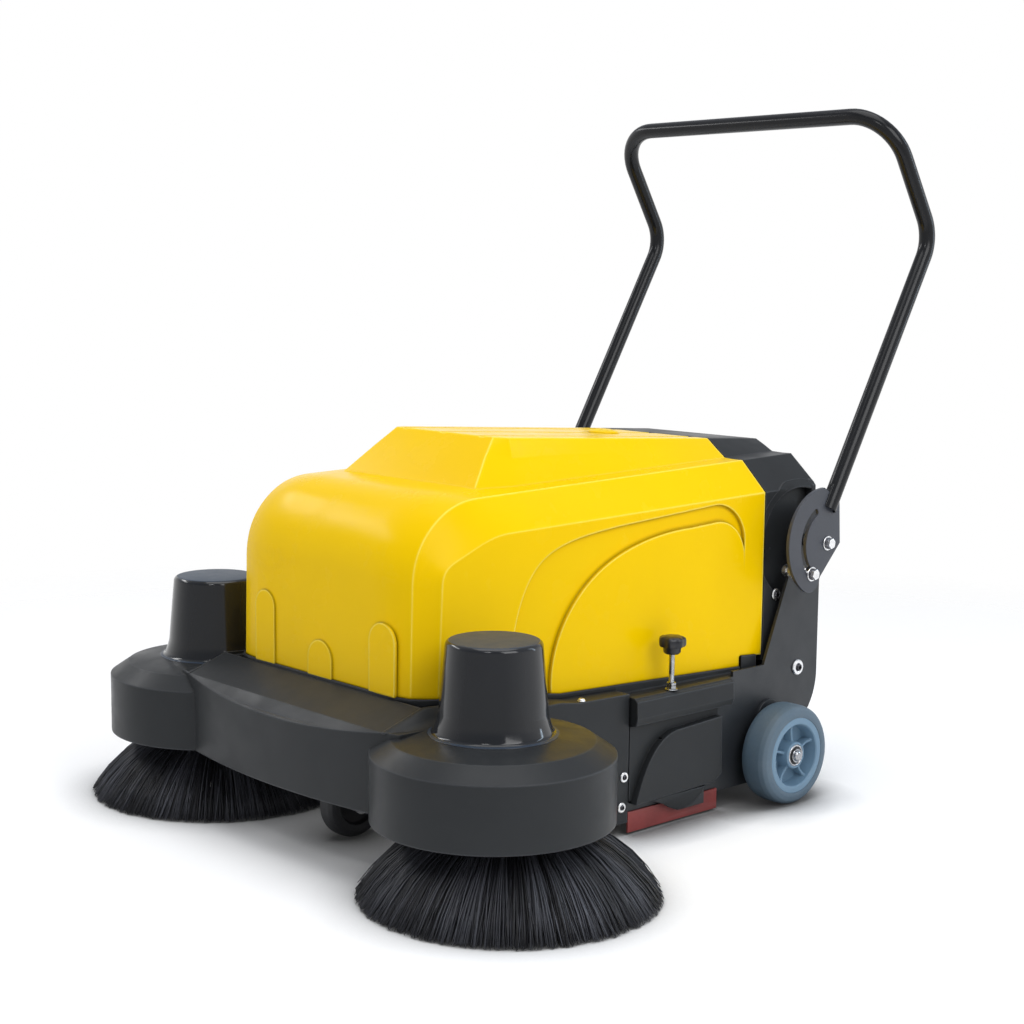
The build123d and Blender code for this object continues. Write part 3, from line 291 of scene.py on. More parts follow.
def flap_rubber(name, colour):
    """Sheet rubber with wiped streaks of dust."""
    s = Shader(name, 0.45, specular=0.4)
    cloud = s.ramp(s.noise(18, 6), shade(colour, 0.75), shade(colour, 1.2))
    wiped = tuple(c * 0.7 + 0.10 for c in colour)
    s.colour(s.mix(s.spread(s.noise(24, 8, 0.7, (0.4, 0.15, 3)), 0, 0.5, 0.5, 0.8), cloud, wiped))
    s.bump(s.noise(260, 3, 0.5, (1, 0.2, 1)), 0.00006)
    return s.material


# The yellow and the charcoal get painted highlights on their edges and painted shade in their seams.
YELLOW = moulded("hood_yellow", (0.86, 0.55, 0.0), 0.24, grain=240, grain_depth=0.000008, mottle=0.02,
                 specular=0.07, edge=0.004, edge_highlight_colour=(0.98, 0.80, 0.12))
CHARCOAL = moulded("charcoal_plastic", linear(43, 45, 47), 0.38, grain=1100, grain_depth=0.00003,
                   mottle=0.10, specular=0.16, edge=0.0035, edge_highlight_colour=linear(66, 68, 71))
# The domes' upward faces get a painted sky reflection in blue-grey.
GLOSS_CHARCOAL = glossy_cap("gloss_charcoal", linear(27, 29, 33), linear(38, 54, 72))
KNOB_BLACK = moulded("knob_black", linear(34, 35, 40), 0.30, coat=0.2)
PANEL_BLACK = moulded("panel_black", linear(36, 36, 38), 0.45, grain=1600, grain_depth=0.00004)
HUB_BLACK = moulded("hub_black", linear(40, 40, 42), 0.45)
BATTERY_CASE = moulded("battery_case", linear(48, 49, 52), 0.42, grain=900)
BATTERY_LID = moulded("battery_lid", linear(88, 90, 94), 0.40, grain=900)
TERMINAL_RED = moulded("terminal_red", linear(170, 28, 24), 0.35)
RIM_BLUE = moulded("rim_blue", linear(106, 134, 156), 0.34, grain=600, mottle=0.06)
METER_GREEN = moulded("meter_green", linear(40, 92, 58), 0.12, coat=0.8)
SWITCH_RED = moulded("switch_red", linear(176, 24, 18), 0.22, coat=0.4)
SWITCH_BLACK = moulded("switch_black", linear(30, 30, 33), 0.25, coat=0.4)
PRINT_WHITE = moulded("print_white", linear(215, 216, 214), 0.5)
TUBE_BLACK = moulded("tube_black", linear(22, 23, 26), 0.20, grain=60, grain_depth=0.00002, mottle=0.12,
                     specular=0.26)
PLATE_GREY = coated_metal("plate_grey", linear(54, 57, 65), 0.38, coat=0.1)
FRAME_BLACK = coated_metal("frame_black", linear(33, 36, 40), 0.42, coat=0.05)
MOTOR_PAINT = coated_metal("motor_paint", linear(58, 60, 64), 0.35)
ZINC = bare_metal("zinc", (0.78, 0.79, 0.81), 0.20, dull=0.75)
ZINC_BRIGHT = bare_metal("zinc_bright", (0.90, 0.90, 0.91), 0.30, dull=0.85)
BLACK_OXIDE = bare_metal("black_oxide", (0.09, 0.09, 0.10), 0.32)
ROD_STEEL = bare_metal("rod_steel", (0.40, 0.41, 0.43), 0.24, dull=0.8)
STEEL = bare_metal("turned_steel", (0.62, 0.62, 0.64), 0.26, stretch=(0.15, 1, 1))
DIE_CAST = bare_metal("die_cast", (0.50, 0.51, 0.53), 0.42)
BRASS = bare_metal("brass_link", (0.72, 0.52, 0.24), 0.32)
CHROME = bare_metal("key_chrome", (0.85, 0.85, 0.87), 0.10, dull=0.8)
TREAD = rubbery("tread_grey", linear(82, 101, 116), 0.55, dust=0.3)
CASTER_RUBBER = rubbery("caster_rubber", linear(46, 47, 50), 0.5, dust=0.2)
BLACK_RUBBER = rubbery("black_rubber", linear(38, 38, 40), 0.55, dust=0.3)
FLAP_RED = flap_rubber("flap_red", linear(132, 56, 54))
FILAMENT = filament("bristle_black", linear(20, 20, 23), linear(80, 82, 90))
WEBBING = woven("strap_web", linear(52, 52, 56))


# ------------------------ mesh helpers
def frame_about(axis):
    """An axis and two directions square to it."""
    axis = Vector(axis).normalized()
    side = axis.orthogonal().normalized()
    return axis, side, axis.cross(side)


def ring_of(place, axis, reach, height, segments=48):
    """One ring about an axis, in mm; reach and height are numbers or functions of the angle."""
    axis, side, up = frame_about(axis)
    ring = []
    for step in range(segments):
        angle = TAU * step / segments
        out = side * math.cos(angle) + up * math.sin(angle)
        r, h = (value(angle) if callable(value) else value for value in (reach, height))
        ring.append(place + out * (r * MM) + axis * (h * MM))
    return ring


class Shape:
    """Vertices and faces gathered from several simple closed forms."""

    def __init__(self):
        self.vertices = []
        self.faces = []

    def rings(self, rings, closed=False, cap_start=True):
        """Skin between rings of equal length, with flat ends; closed joins the last ring to the first."""
        base = len(self.vertices)
        count = len(rings[0])
        for ring in rings:
            self.vertices.extend(ring)
        total = len(rings)
        for i in range(total if closed else total - 1):
            a = base + i * count
            b = base + ((i + 1) % total) * count
            for j in range(count):
                k = (j + 1) % count
                self.faces.append((a + j, a + k, b + k, b + j))
        if not closed:
            if cap_start:
                self.faces.append(tuple(base + j for j in reversed(range(count))))
            last = base + (total - 1) * count
            self.faces.append(tuple(last + j for j in range(count)))

    def lathe(self, profile, origin, axis, segments=64, closed=True, wave=None):
        """Turn (along, radius) points in mm about an axis; wave(angle, index) scales the radius."""
        rings = []
        for index, (along, radius) in enumerate(profile):
            reach = (lambda angle, r=radius, i=index: r * wave(angle, i)) if wave else radius
            rings.append(ring_of(origin, axis, reach, along, segments))
        self.rings(rings, closed=closed)

    def tube(self, path, radius, sides=24, inner=None):
        """A round tube along a path; with inner, its ends are open to that radius."""
        rings = sweep_rings(path, radius, sides)
        if inner is None:
            self.rings(rings)
            return
        inside = sweep_rings(path, inner, sides)
        self.rings(rings + inside[::-1], closed=True)

    def piece(self, name, body, material, slot, replaces=(), smooth_angle=40, tints=None):
        """Finish as a piece that rides on a body and may stand for CAD nodes; the slot argument is not
        used.
        """
        mesh = bpy.data.meshes.new(name)
        mesh.from_pydata([tuple(v) for v in self.vertices], [], self.faces)
        shell = bmesh.new()
        shell.from_mesh(mesh)
        bmesh.ops.recalc_face_normals(shell, faces=shell.faces)
        shell.to_mesh(mesh)
        shell.free()
        mesh.shade_smooth()
        if smooth_angle < 180:
            mesh.set_sharp_from_angle(angle=math.radians(smooth_angle))
        if tints:
            mesh.attributes.new("tint", "FLOAT", "POINT").data.foreach_set("value", tints)
        mesh.materials.append(material)
        piece = add_object(name, mesh)
        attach(piece, body)
        if replaces:
            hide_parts(*replaces)


def sweep_rings(path, radius, sides):
    """Rings round a path, carried along without twist."""
    rings = []
    normal = None
    for i, point in enumerate(path):
        ahead = path[min(i + 1, len(path) - 1)]
        behind = path[max(i - 1, 0)]
        tangent = (ahead - behind).normalized()
        if normal is None:
            normal = tangent.orthogonal().normalized()
        normal = (normal - tangent * normal.dot(tangent)).normalized()
        other = tangent.cross(normal)
        ring = []
        for s in range(sides):
            angle = TAU * s / sides
            ring.append(point + (normal * math.cos(angle) + other * math.sin(angle)) * radius)
        rings.append(ring)
    return rings


def rounded(points, radii, steps=5):
    """A polyline (2-D or 3-D) with its inner corners rounded to the given radii."""
    points = [Vector(p) for p in points]
    if not hasattr(radii, "__len__"):
        radii = [radii] * (len(points) - 2)
    path = [points[0]]
    for i, radius in enumerate(radii, start=1):
        here = points[i]
        back, ahead = points[i - 1] - here, points[i + 1] - here
        angle = back.angle(ahead)
        if radius <= 0 or angle > math.pi - 0.01:
            path.append(here)
            continue
        reach = min(radius / math.tan(angle / 2), 0.49 * back.length, 0.49 * ahead.length)
        start = here + back.normalized() * reach
        end = here + ahead.normalized() * reach
        true_radius = reach * math.tan(angle / 2)
        inward = ((start + end) / 2 - here).normalized()
        centre = here + inward * (true_radius / math.sin(angle / 2))
        a, b = start - centre, end - centre
        turn = a.angle(b)
        for step in range(steps + 1):
            t = step / steps
            arm = (a * math.sin((1 - t) * turn) + b * math.sin(t * turn)) / math.sin(turn)
            path.append(centre + arm)
    path.append(points[-1])
    return path


def soften(obj, width):
    """Give a CAD node moulded or deburred edges, as modifiers that leave its own mesh alone."""
    obj.data.shade_smooth()
    join = obj.modifiers.new("join", "WELD")
    join.merge_threshold = 0.01 * MM
    flat = obj.modifiers.new("flat", "DECIMATE")
    flat.decimate_type = "DISSOLVE"
    flat.angle_limit = math.radians(0.6)
    edge = obj.modifiers.new("edge", "BEVEL")
    edge.width = width
    edge.segments = 3
    edge.limit_method = "ANGLE"
    edge.angle_limit = math.radians(12)
    edge.miter_outer = "MITER_ARC"
    edge.use_clamp_overlap = True
    tidy = obj.modifiers.new("normals", "WEIGHTED_NORMAL")
    tidy.keep_sharp = True
    tidy.weight = 100


# ------------------------ camera, light and floor
def add_camera():
    """The camera: position, turn and lens."""
    data = bpy.data.cameras.new("camera")
    data.lens, data.sensor_width = 63.47, 36
    camera = add_object("camera", data)
    camera.location = (1.9605, -1.8543, 0.7815)
    yaw, pitch, roll = 0.8308, 0.1305, 0.0097
    right = Vector((math.cos(yaw), math.sin(yaw), 0))
    forward = Vector((-math.sin(yaw) * math.cos(pitch), math.cos(yaw) * math.cos(pitch), -math.sin(pitch)))
    up = right.cross(forward)
    rolled_right = right * math.cos(roll) + up * math.sin(roll)
    rolled_up = up * math.cos(roll) - right * math.sin(roll)
    camera.rotation_mode = "QUATERNION"
    turn = Matrix((rolled_right, rolled_up, -forward)).transposed()
    camera.rotation_quaternion = turn.to_quaternion()
    bpy.context.scene.camera = camera


def area_light(name, place, target, size, power, colour=(1, 1, 1)):
    data = bpy.data.lights.new(name, "AREA")
    data.shape = "RECTANGLE"
    data.size, data.size_y = size
    data.energy = power
    data.color = colour
    light = add_object(name, data)
    light.location = place
    aim = Vector(target) - Vector(place)
    light.rotation_mode = "QUATERNION"
    light.rotation_quaternion = aim.to_track_quat("-Z", "Y")


def add_world():
    """White round the horizon and below it, greyer overhead and towards the front."""
    world = bpy.data.worlds.new("studio")
    bpy.context.scene.world = world
    world.use_nodes = True
    nodes, links = world.node_tree.nodes, world.node_tree.links
    direction = nodes.new("ShaderNodeTexCoord").outputs["Generated"]
    split = nodes.new("ShaderNodeSeparateXYZ")
    links.new(direction, split.inputs["Vector"])
    overhead = nodes.new("ShaderNodeValToRGB")
    links.new(split.outputs["Z"], overhead.inputs["Fac"])
    overhead.color_ramp.elements[0].position = 0.18
    overhead.color_ramp.elements[0].color = (1, 1, 1, 1)
    overhead.color_ramp.elements[1].position = 0.42
    overhead.color_ramp.elements[1].color = (0.56, 0.58, 0.62, 1)
    facing = new_node(nodes, "VectorMath", {1: (0.45, -0.89, 0.0)}, "DOT_PRODUCT")
    links.new(direction, facing.inputs[0])
    front = new_node(nodes, "MapRange", {"From Min": -0.1, "From Max": 0.7, "To Min": 1.0, "To Max": 0.62})
    links.new(facing.outputs["Value"], front.inputs["Value"])
    dimmed = new_node(nodes, "VectorMath", operation="SCALE")
    links.new(overhead.outputs["Color"], dimmed.inputs[0])
    links.new(front.outputs["Result"], dimmed.inputs["Scale"])
    links.new(dimmed.outputs["Vector"], nodes["Background"].inputs["Color"])
    nodes["Background"].inputs["Strength"].default_value = 1.0


def add_floor():
    """A round white floor that fades out into the world's white."""
    count, reach = 96, 3.4
    rim = [(reach * math.cos(TAU * i / count), reach * math.sin(TAU * i / count), 0) for i in range(count)]
    mesh = bpy.data.meshes.new("floor")
    mesh.from_pydata(rim, [], [tuple(range(count))])
    s = Shader("floor", 0.7, specular=0.1)
    white = s.ramp(s.noise(3, 3), (0.95, 0.95, 0.95), (0.97, 0.97, 0.97))
    # Painted contact shadow: near the machine the floor's colour and glow darken towards grey, by ambient
    # occlusion.
    shaded = s.mix(s.spread(s.openness(0.09), 0, 1, 0.50, 0.99), (0.14, 0.14, 0.14), white)
    s.colour(shaded)
    s.links.new(shaded, s.principled.inputs["Emission Color"])
    s.set("Emission Strength", 0.08)
    length = s.new("VectorMath", operation="LENGTH")
    s.links.new(s.place, length.inputs[0])
    s.links.new(s.spread(length.outputs["Value"], 1.0, 0.0, 0.9, 2.3), s.principled.inputs["Alpha"])
    mesh.materials.append(s.material)
    floor = add_object("floor", mesh)


def add_studio():
    """A white studio: soft boxes left and overhead, long lights right and behind, a small one in front."""
    bpy.context.scene.view_settings.view_transform = "Standard"
    add_world()
    add_floor()
    area_light("key", (2.9, -0.4, 2.3), (0, -0.2, 0.2), (1.8, 1.8), 42)
    area_light("top", (0.2, -0.2, 3.2), (0, 0, 0), (2.4, 2.4), 39)
    area_light("nose", (-2.6, -1.2, 2.3), (0, -0.3, 0.4), (2.4, 0.4), 19)
    area_light("strip", (1.6, 2.4, 1.5), (0.2, 0.3, 0.6), (0.25, 2.0), 12, (0.66, 0.83, 1.0))
    area_light("glint", (1.2, -1.9, 2.1), (0.3, -0.38, 0.3), (0.5, 0.16), 5)


# ------------------------ layout, in the CAD part's own millimetres
LAYOUT_SHIFT = 5.2  # the CAD part is laid out this far in front of the frame
UP = (0, 0, 1)
SIDE_FRONT_X, SIDE_FRONT_Y = 211, -392  # where the hood's tapered side begins
SIDE_TAPER = 0.0378
SIDE_EDGE_Z, SIDE_EDGE_Y, SIDE_EDGE_RISE = 443, -270, 0.0388  # the edge between side and shoulder
SHOULDER_LEAN = 1.108
PIVOT_Y, PIVOT_Z = 310, 385  # the handle's pivot, and the middle of the housing's round recess
LOCK_Y, LOCK_Z = 274, 341.5
REAR_WALL_Y = 345
PANEL_FACE_Y = 348


def at(x, y, z):
    """A point of the CAD layout, in the frame's metres."""
    return Vector((x, y + LAYOUT_SHIFT, z)) * MM


def side_x(y):
    """Where the tapered side of the hood and housing lies."""
    return SIDE_FRONT_X + (y - SIDE_FRONT_Y) * SIDE_TAPER


def housing_side_x(y, z):
    """Where the housing's outside lies: its tapered side, and the shoulder above the side's edge."""
    edge = SIDE_EDGE_Z + (y - SIDE_EDGE_Y) * SIDE_EDGE_RISE
    return side_x(y) - max(z - edge, 0) * SHOULDER_LEAN


# ------------------------ hardware
def hexagon_reach(angle, flat):
    """Distance from a hexagon's centre to its edge, where flat is half the width across flats."""
    return flat / math.cos((angle + math.pi / 6) % (math.pi / 3) - math.pi / 6)


def add_hex_head(shape, place, axis, flat, height):
    """A hexagon head with its corners chamfered as on a forged bolt."""
    def reach(angle):
        return hexagon_reach(angle, flat)

    def chamfered(angle):
        return height - 0.55 * max(0, reach(angle) - flat * 0.98)

    rings = [(reach, 0), (reach, chamfered), (flat * 0.93, height), (flat * 0.5, height)]
    shape.rings([ring_of(place, axis, *ring) for ring in rings])


def add_washer(shape, place, axis, outer, inner, thick):
    edge = thick * 0.3
    loop = [(0, inner), (0, outer - edge), (edge, outer), (thick - edge, outer), (thick, outer - edge),
            (thick, inner)]
    shape.lathe(loop, place, axis, 40)


def add_button_head(shape, place, axis, radius, height, socket):
    """A domed screw head with a hexagon socket."""
    def hexed(angle):
        return hexagon_reach(angle, socket)

    def floor(angle):
        return 0.6 * hexed(angle)

    rim = socket * 1.3
    rings = [(floor, height * 0.25), (hexed, height * 0.3), (hexed, height * 0.93), (rim, height)]
    for step in range(1, 7):
        turn = math.radians(15 * step)
        rings.append((rim + (radius - rim) * math.sin(turn), height * (0.15 + 0.85 * math.cos(turn))))
    rings.append((radius, 0))
    shape.rings([ring_of(place, axis, *ring) for ring in rings])


COVER_SCREWS = (  # y, z, seat x, washer radius
    (295, 190, 252, 11.5),
    (-87, 87, 256, 7.2),
    (-91, 44, 256, 7.2),
    (258, 305, 236.0, 8.5),
    (242, 377, 235.3, 2.6),
)


def make_cover_screws():
    """Bright cupped washers under dark socket heads."""
    washers, heads = Shape(), Shape()
    for _, side in SIDES:
        out = Vector((side, 0, 0))
        for y, z, seat, washer in COVER_SCREWS:
            place = at(side * seat, y, z)
            if washer > 3:
                cup = [(0, 0.4), (0, 1), (0.16, 1.04), (0.3, 0.94), (0.36, 0.7), (0.3, 0.56), (0.2, 0.4)]
                washers.lathe([(a * washer, r * washer) for a, r in cup], place, out, 40)
                place = place + out * 0.2 * washer * MM
            add_button_head(heads, place, out, washer * 0.52, washer * 0.36, washer * 0.24)
    washers.piece("cover_washers", "chassis", ZINC_BRIGHT, "zinc_steel", ["cover_fasteners"])
    heads.piece("cover_screws", "chassis", BLACK_OXIDE, "zinc_steel")


DECK_SCREWS = ((249, -165, 206.6), (249, -236, 212))  # x, y, z


def make_deck_screws():
    shape = Shape()
    for _, side in SIDES:
        for x, y, z in DECK_SCREWS:
            place = at(side * x, y, z)
            add_washer(shape, place, UP, 6, 2.4, 1.2)
            add_button_head(shape, place + Vector((0, 0, 1.1 * MM)), UP, 5, 2.8, 1.9)
    shape.piece("deck_screws", "chassis", ZINC_BRIGHT, "zinc_steel")


def make_handle_bolts():
    shape, locks = Shape(), Shape()
    for _, side in SIDES:
        out = Vector((side, 0, 0))
        for y, z in ((PIVOT_Y, PIVOT_Z), (LOCK_Y, LOCK_Z)):
            spacer = [(0, 5.2), (0, 10), (1, 11), (31.7, 11), (32.7, 10), (32.7, 5.2)]
            shape.lathe(spacer, at(side * 252, y, z), out, 40)
            shape.lathe([(0, 5), (52, 5)], at(side * 240, y, z), out, 32, closed=False)
            add_washer(shape, at(side * 291.3, y, z), out, 11, 5, 1.8)
            add_washer(locks, at(side * 293.1, y, z), out, 8.8, 5, 2.2)
            add_hex_head(shape, at(side * 295.3, y, z), out, 7, 5.2)
            add_hex_head(shape, at(side * 247, y, z), -out, 8, 6.6)
    shape.piece("handle_hardware", "chassis", ZINC_BRIGHT, "zinc_steel", ["handle_bolts"])
    locks.piece("handle_lock_washers", "chassis", BLACK_OXIDE, "zinc_steel")


def make_wheel_bolts():
    shape = Shape()
    for name, side in SIDES:
        out = Vector((side, 0, 0))
        hub = JOINT_AT[f"wheel_{name}_spin"]

        def along(x):
            return Vector((side * x * MM, hub.y, hub.z))

        shape.lathe([(0, 6), (71, 6)], along(241), out, 32, closed=False)
        add_hex_head(shape, along(247), -out, 9, 6)
        add_washer(shape, along(252), out, 12, 6, 2)
        shape.lathe([(0, 6), (0, 8.4), (1, 9), (9, 9), (10, 8.4), (10, 6)], along(254), out, 32)
        add_washer(shape, along(312), out, 10.5, 6, 1.6)
        dome = [(0, 8.2), (2.2, 8.0), (3.6, 7.0), (4.8, 5.2), (5.4, 2.6), (5.6, 0.4)]
        shape.lathe(dome, along(313.4), out, 40, closed=False)
    shape.piece("wheel_hardware", "chassis", ROD_STEEL, "zinc_steel", ["wheel_bolts"])


# ------------------------ wheels
TYRE_PROFILE = [
    (1, 57), (0.3, 58.5), (0, 62), (1.2, 68.5), (5.5, 73), (13, 74.8), (19, 75),
    (31, 75), (37, 74.8), (44.5, 73), (48.8, 68.5), (50, 62), (49.7, 58.5), (49, 57),
]
RIM_PROFILE = [
    (1, 57), (1, 47.5), (2.5, 46), (17, 44.5), (18, 43), (18, 21.5), (17, 20), (3, 20), (1.5, 18.5),
    (1.5, 16.2), (12, 16.2), (12, 9), (38, 9), (38, 16.2), (48, 16.2), (48, 18.4), (46.6, 20), (27, 21),
    (26, 22.5), (26, 43), (27.5, 44.5), (47.6, 46.4), (49.2, 48), (49.2, 56), (48.6, 57),
]
WHEEL_INNER_FACE = 263
RIB_COUNT = 5
# radius, crest and half width along a rib
RIB_SECTIONS = ((19, 42, 2.6), (24, 40.5, 2.1), (36, 39.5, 1.9), (43, 41, 2.4), (46, 43, 3.0))


def add_rib(shape, hub, side, angle):
    """One tapered spoke rib between the hub and the rim, with a rounded crest."""
    out = Vector((side, 0, 0))
    radial = Vector((0, math.cos(angle), math.sin(angle)))
    across = out.cross(radial)
    rings = []
    for radius, crest, half in RIB_SECTIONS:
        middle = hub + radial * radius * MM + out * WHEEL_INNER_FACE * MM
        section = ((25, -1), (crest - 1.2, -1), (crest - 0.3, -0.7), (crest, 0), (crest - 0.3, 0.7),
                   (crest - 1.2, 1), (25, 1))
        rings.append([middle + out * a * MM + across * w * half * MM for a, w in section])
    shape.rings(rings)


def make_wheels():
    races, seals = Shape(), Shape()
    for name, side in SIDES:
        out = Vector((side, 0, 0))
        axis = JOINT_AT[f"wheel_{name}_spin"]
        hub = Vector((0, axis.y, axis.z))
        face = hub + out * WHEEL_INNER_FACE * MM
        body = f"wheel_{name}"
        tyre = Shape()
        tyre.lathe(rounded(TYRE_PROFILE, 5, 3), face, out, 112)
        tyre.piece(f"tread_{name}", body, TREAD, "tread_grey", [f"tyre_{name}"], 60)
        rim = Shape()
        rim.lathe(rounded(RIM_PROFILE, 1.1, 3), face, out, 96)
        for rib in range(RIB_COUNT):
            add_rib(rim, hub, side, TAU * rib / RIB_COUNT + 0.35)
        rim.piece(f"wheel_rim_{name}", body, RIM_BLUE, "rim_grey", [f"rim_{name}"], 50)
        for start in (263.5, 301):
            place = hub + out * start * MM
            for inner, outer in ((6, 8.6), (13.6, 15.9)):
                loop = [(0.4, inner), (0, inner + 0.4), (0, outer - 0.4), (0.4, outer), (9.6, outer),
                        (10, outer - 0.4), (10, inner + 0.4), (9.6, inner)]
                races.lathe(loop, place, out, 48)
            loop = [(1, 8.6), (1, 13.6), (9, 13.6), (9.3, 12), (9, 10.6), (9.3, 9.4), (9, 8.6)]
            seals.lathe(loop, place, out, 48)
    races.piece("bearing_races", "chassis", STEEL, "turned_steel", ["wheel_bearings"], 35)
    seals.piece("bearing_seals", "chassis", BLACK_RUBBER, "flap_black", (), 35)


def both_ways(half):
    """A profile completed by its mirror image across the middle of the wheel."""
    return half + [(-along, radius) for along, radius in reversed(half)]


def make_caster_wheel():
    axis = JOINT_AT["caster_spin"]
    tyre = Shape()
    half = [(-15, 32), (-15.6, 40), (-14, 45.5), (-9, 49.4), (-4, 50)]
    tyre.lathe(rounded(both_ways(half), 4, 3), axis, (1, 0, 0), 80)
    tyre.piece("caster_tread", "caster_roll", CASTER_RUBBER, "caster_grey", ["caster_wheel"], 60)
    hub = Shape()
    half = [(-18, 5.2), (-18, 11), (-16.5, 12.5), (-9, 13), (-8, 14), (-8, 28), (-9, 30), (-14.5, 31),
            (-15, 32.2)]
    hub.lathe(rounded(both_ways(half), 1, 2), axis, (1, 0, 0), 64)
    hub.piece("caster_hub", "caster_roll", HUB_BLACK, "caster_grey", (), 45)


# ------------------------ brushes
def add_filament(shape, tints, path, radius, tint, sides=3):
    """A thin tapered strand along a short path."""
    rings = sweep_rings(path, radius, sides)
    tip = path[-1]
    rings[-1] = [tip + (v - tip) * 0.6 for v in rings[-1]]
    shape.rings(rings, cap_start=False)
    tints.extend([tint] * (len(rings) * sides))


DISC_TUFTS = ((56, 84, 22), (64, 90, 30), (72, 94, 34), (78, 96, 38))  # radius, z, tufts on the ring
STRANDS_PER_TUFT = 42
SIDE_BRUSH_REACH = 197.0


def side_strand(rng, centre, radius, height, angle):
    """The path of one strand: out of its tuft and bent over towards the floor."""
    row = radius / DISC_TUFTS[-1][0]
    fan = rng.gauss(0, 0.05)
    start_angle = angle + fan * 0.6
    end_angle = angle + fan * 1.25 + rng.gauss(0, 0.014)
    start_r = radius + rng.uniform(-4, 4)
    end_r = SIDE_BRUSH_REACH * row ** 0.22 * rng.uniform(0.93, 1.0)
    end_z = 1.0 + (1 - row) * 6 + rng.random() ** 2 * 5
    bend_r = start_r + (end_r - start_r) * rng.uniform(0.54, 0.66)
    bend_z = height - (height - end_z) * rng.uniform(0.24, 0.33)
    path = []
    for step in range(6):
        t = step / 5
        r = (1 - t) ** 2 * start_r + 2 * t * (1 - t) * bend_r + t * t * end_r
        z = (1 - t) ** 2 * height + 2 * t * (1 - t) * bend_z + t * t * end_z
        turn = start_angle + (end_angle - start_angle) * t
        reach = Vector((r * math.cos(turn), r * math.sin(turn), z)) * MM
        path.append(Vector((centre.x, centre.y, 0)) + reach)
    return path


def make_side_brushes():
    for name, side in SIDES:
        rng = random.Random(11 + side)
        centre = JOINT_AT[f"side_brush_{name}_spin"]
        for part, rows, replaced in (("inner", DISC_TUFTS[:2], ()),
                                     ("outer", DISC_TUFTS[2:], [f"side_brush_bristles_{name}"])):
            shape = Shape()
            tints = []
            for radius, height, tufts in rows:
                for tuft in range(tufts):
                    angle = TAU * (tuft + rng.uniform(-0.15, 0.15)) / tufts
                    tuft_tint = rng.random() ** 2 * 0.55
                    for _ in range(STRANDS_PER_TUFT):
                        path = side_strand(rng, centre, radius, height, angle)
                        tint = min(1.0, tuft_tint + rng.random() ** 3 * 0.6)
                        add_filament(shape, tints, path, rng.uniform(0.65, 1.0) * MM, tint)
            shape.piece(f"side_bristles_{name}_{part}", f"side_brush_{name}", FILAMENT, "bristle_black",
                        replaced, 180, tints)


ROLLER_ROWS = 12
ROLLER_TUFTS = 34
ROLLER_STRANDS = 13


def roller_strand(rng, axis, x, angle):
    """The path of one strand, from the core out to the brush's rim."""
    start, end = angle + rng.gauss(0, 0.03), angle + rng.gauss(0, 0.05)
    end_x = x + rng.gauss(0, 0.0035)
    reach = rng.uniform(0.101, 0.1048)
    path = []
    for radius, turn, place in ((0.041, start, x), (0.075, (start + end) / 2, (x + end_x) / 2),
                                (reach, end, end_x)):
        out = Vector((0, math.cos(turn), math.sin(turn)))
        path.append(Vector((place, axis.y, axis.z)) + out * radius)
    return path


def make_roller_bristles():
    """Tufts in helical rows round the main brush core."""
    rng = random.Random(5)
    axis = JOINT_AT["main_brush_spin"]
    low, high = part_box("roller_bristles")
    shape = Shape()
    tints = []
    for row in range(ROLLER_ROWS):
        for tuft in range(ROLLER_TUFTS):
            t = (tuft + 0.5) / ROLLER_TUFTS
            x = low.x + 0.006 + (high.x - low.x - 0.012) * t
            angle = TAU * (row / ROLLER_ROWS + 0.45 * t)
            tuft_tint = rng.random() * 0.4
            for _ in range(ROLLER_STRANDS):
                path = roller_strand(rng, axis, x, angle)
                add_filament(shape, tints, path, 0.0008, tuft_tint + rng.random() * 0.3)
    shape.piece("main_brush_bristles", "main_brush", FILAMENT, "bristle_black", ["roller_bristles"], 180,
                tints)


# ------------------------ covers and knobs
def make_motor_domes():
    outer = [(211.6, 83.4), (212.6, 83.4), (214.6, 76.5), (232, 70.3), (331, 61.4), (331, 0.5)]
    inner = [(328, 0.5), (328, 58), (232, 67), (216, 72), (211.6, 79)]
    soft = rounded(outer, [0.5, 13, 60, 7.5], 8) + [Vector(p) for p in inner]
    low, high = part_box("motor_cover_left")
    centre_x, centre_y = (low.x + high.x) / 2, (low.y + high.y) / 2
    for name, side in SIDES:
        shape = Shape()
        shape.lathe(soft, Vector((side * centre_x, centre_y, 0)), UP, 96)
        shape.piece(f"motor_dome_{name}", "chassis", GLOSS_CHARCOAL, "charcoal_plastic",
                    [f"motor_cover_{name}"], 60)


THREAD_PITCH = 1.5
KNOB_PROFILE = [(277.4, 0.5), (277.4, 9), (276.6, 15.5), (274.6, 19), (271, 20), (265, 20), (262.4, 18.6),
                (262, 14.5), (261, 13.2), (254, 12.4), (251.5, 10), (250.6, 6.5), (250.6, 0.5)]
LOBED = range(2, 7)  # the knob profile's points that the seven lobes shape


def add_thread(shape, foot, low, high, sides=20):
    """A screw thread about an upright axis, a ring for each quarter of a turn's rise."""
    rings = []
    for i in range(int((high - low) / THREAD_PITCH * 4) + 1):
        z = low + i * THREAD_PITCH / 4
        ring = []
        for s in range(sides):
            phase = (z / THREAD_PITCH - s / sides) % 1
            radius = 3.98 - 1.1 * abs(phase - 0.5)
            turn = TAU * s / sides
            ring.append(foot + Vector((radius * math.cos(turn), radius * math.sin(turn), z)) * MM)
        rings.append(ring)
    shape.rings(rings)


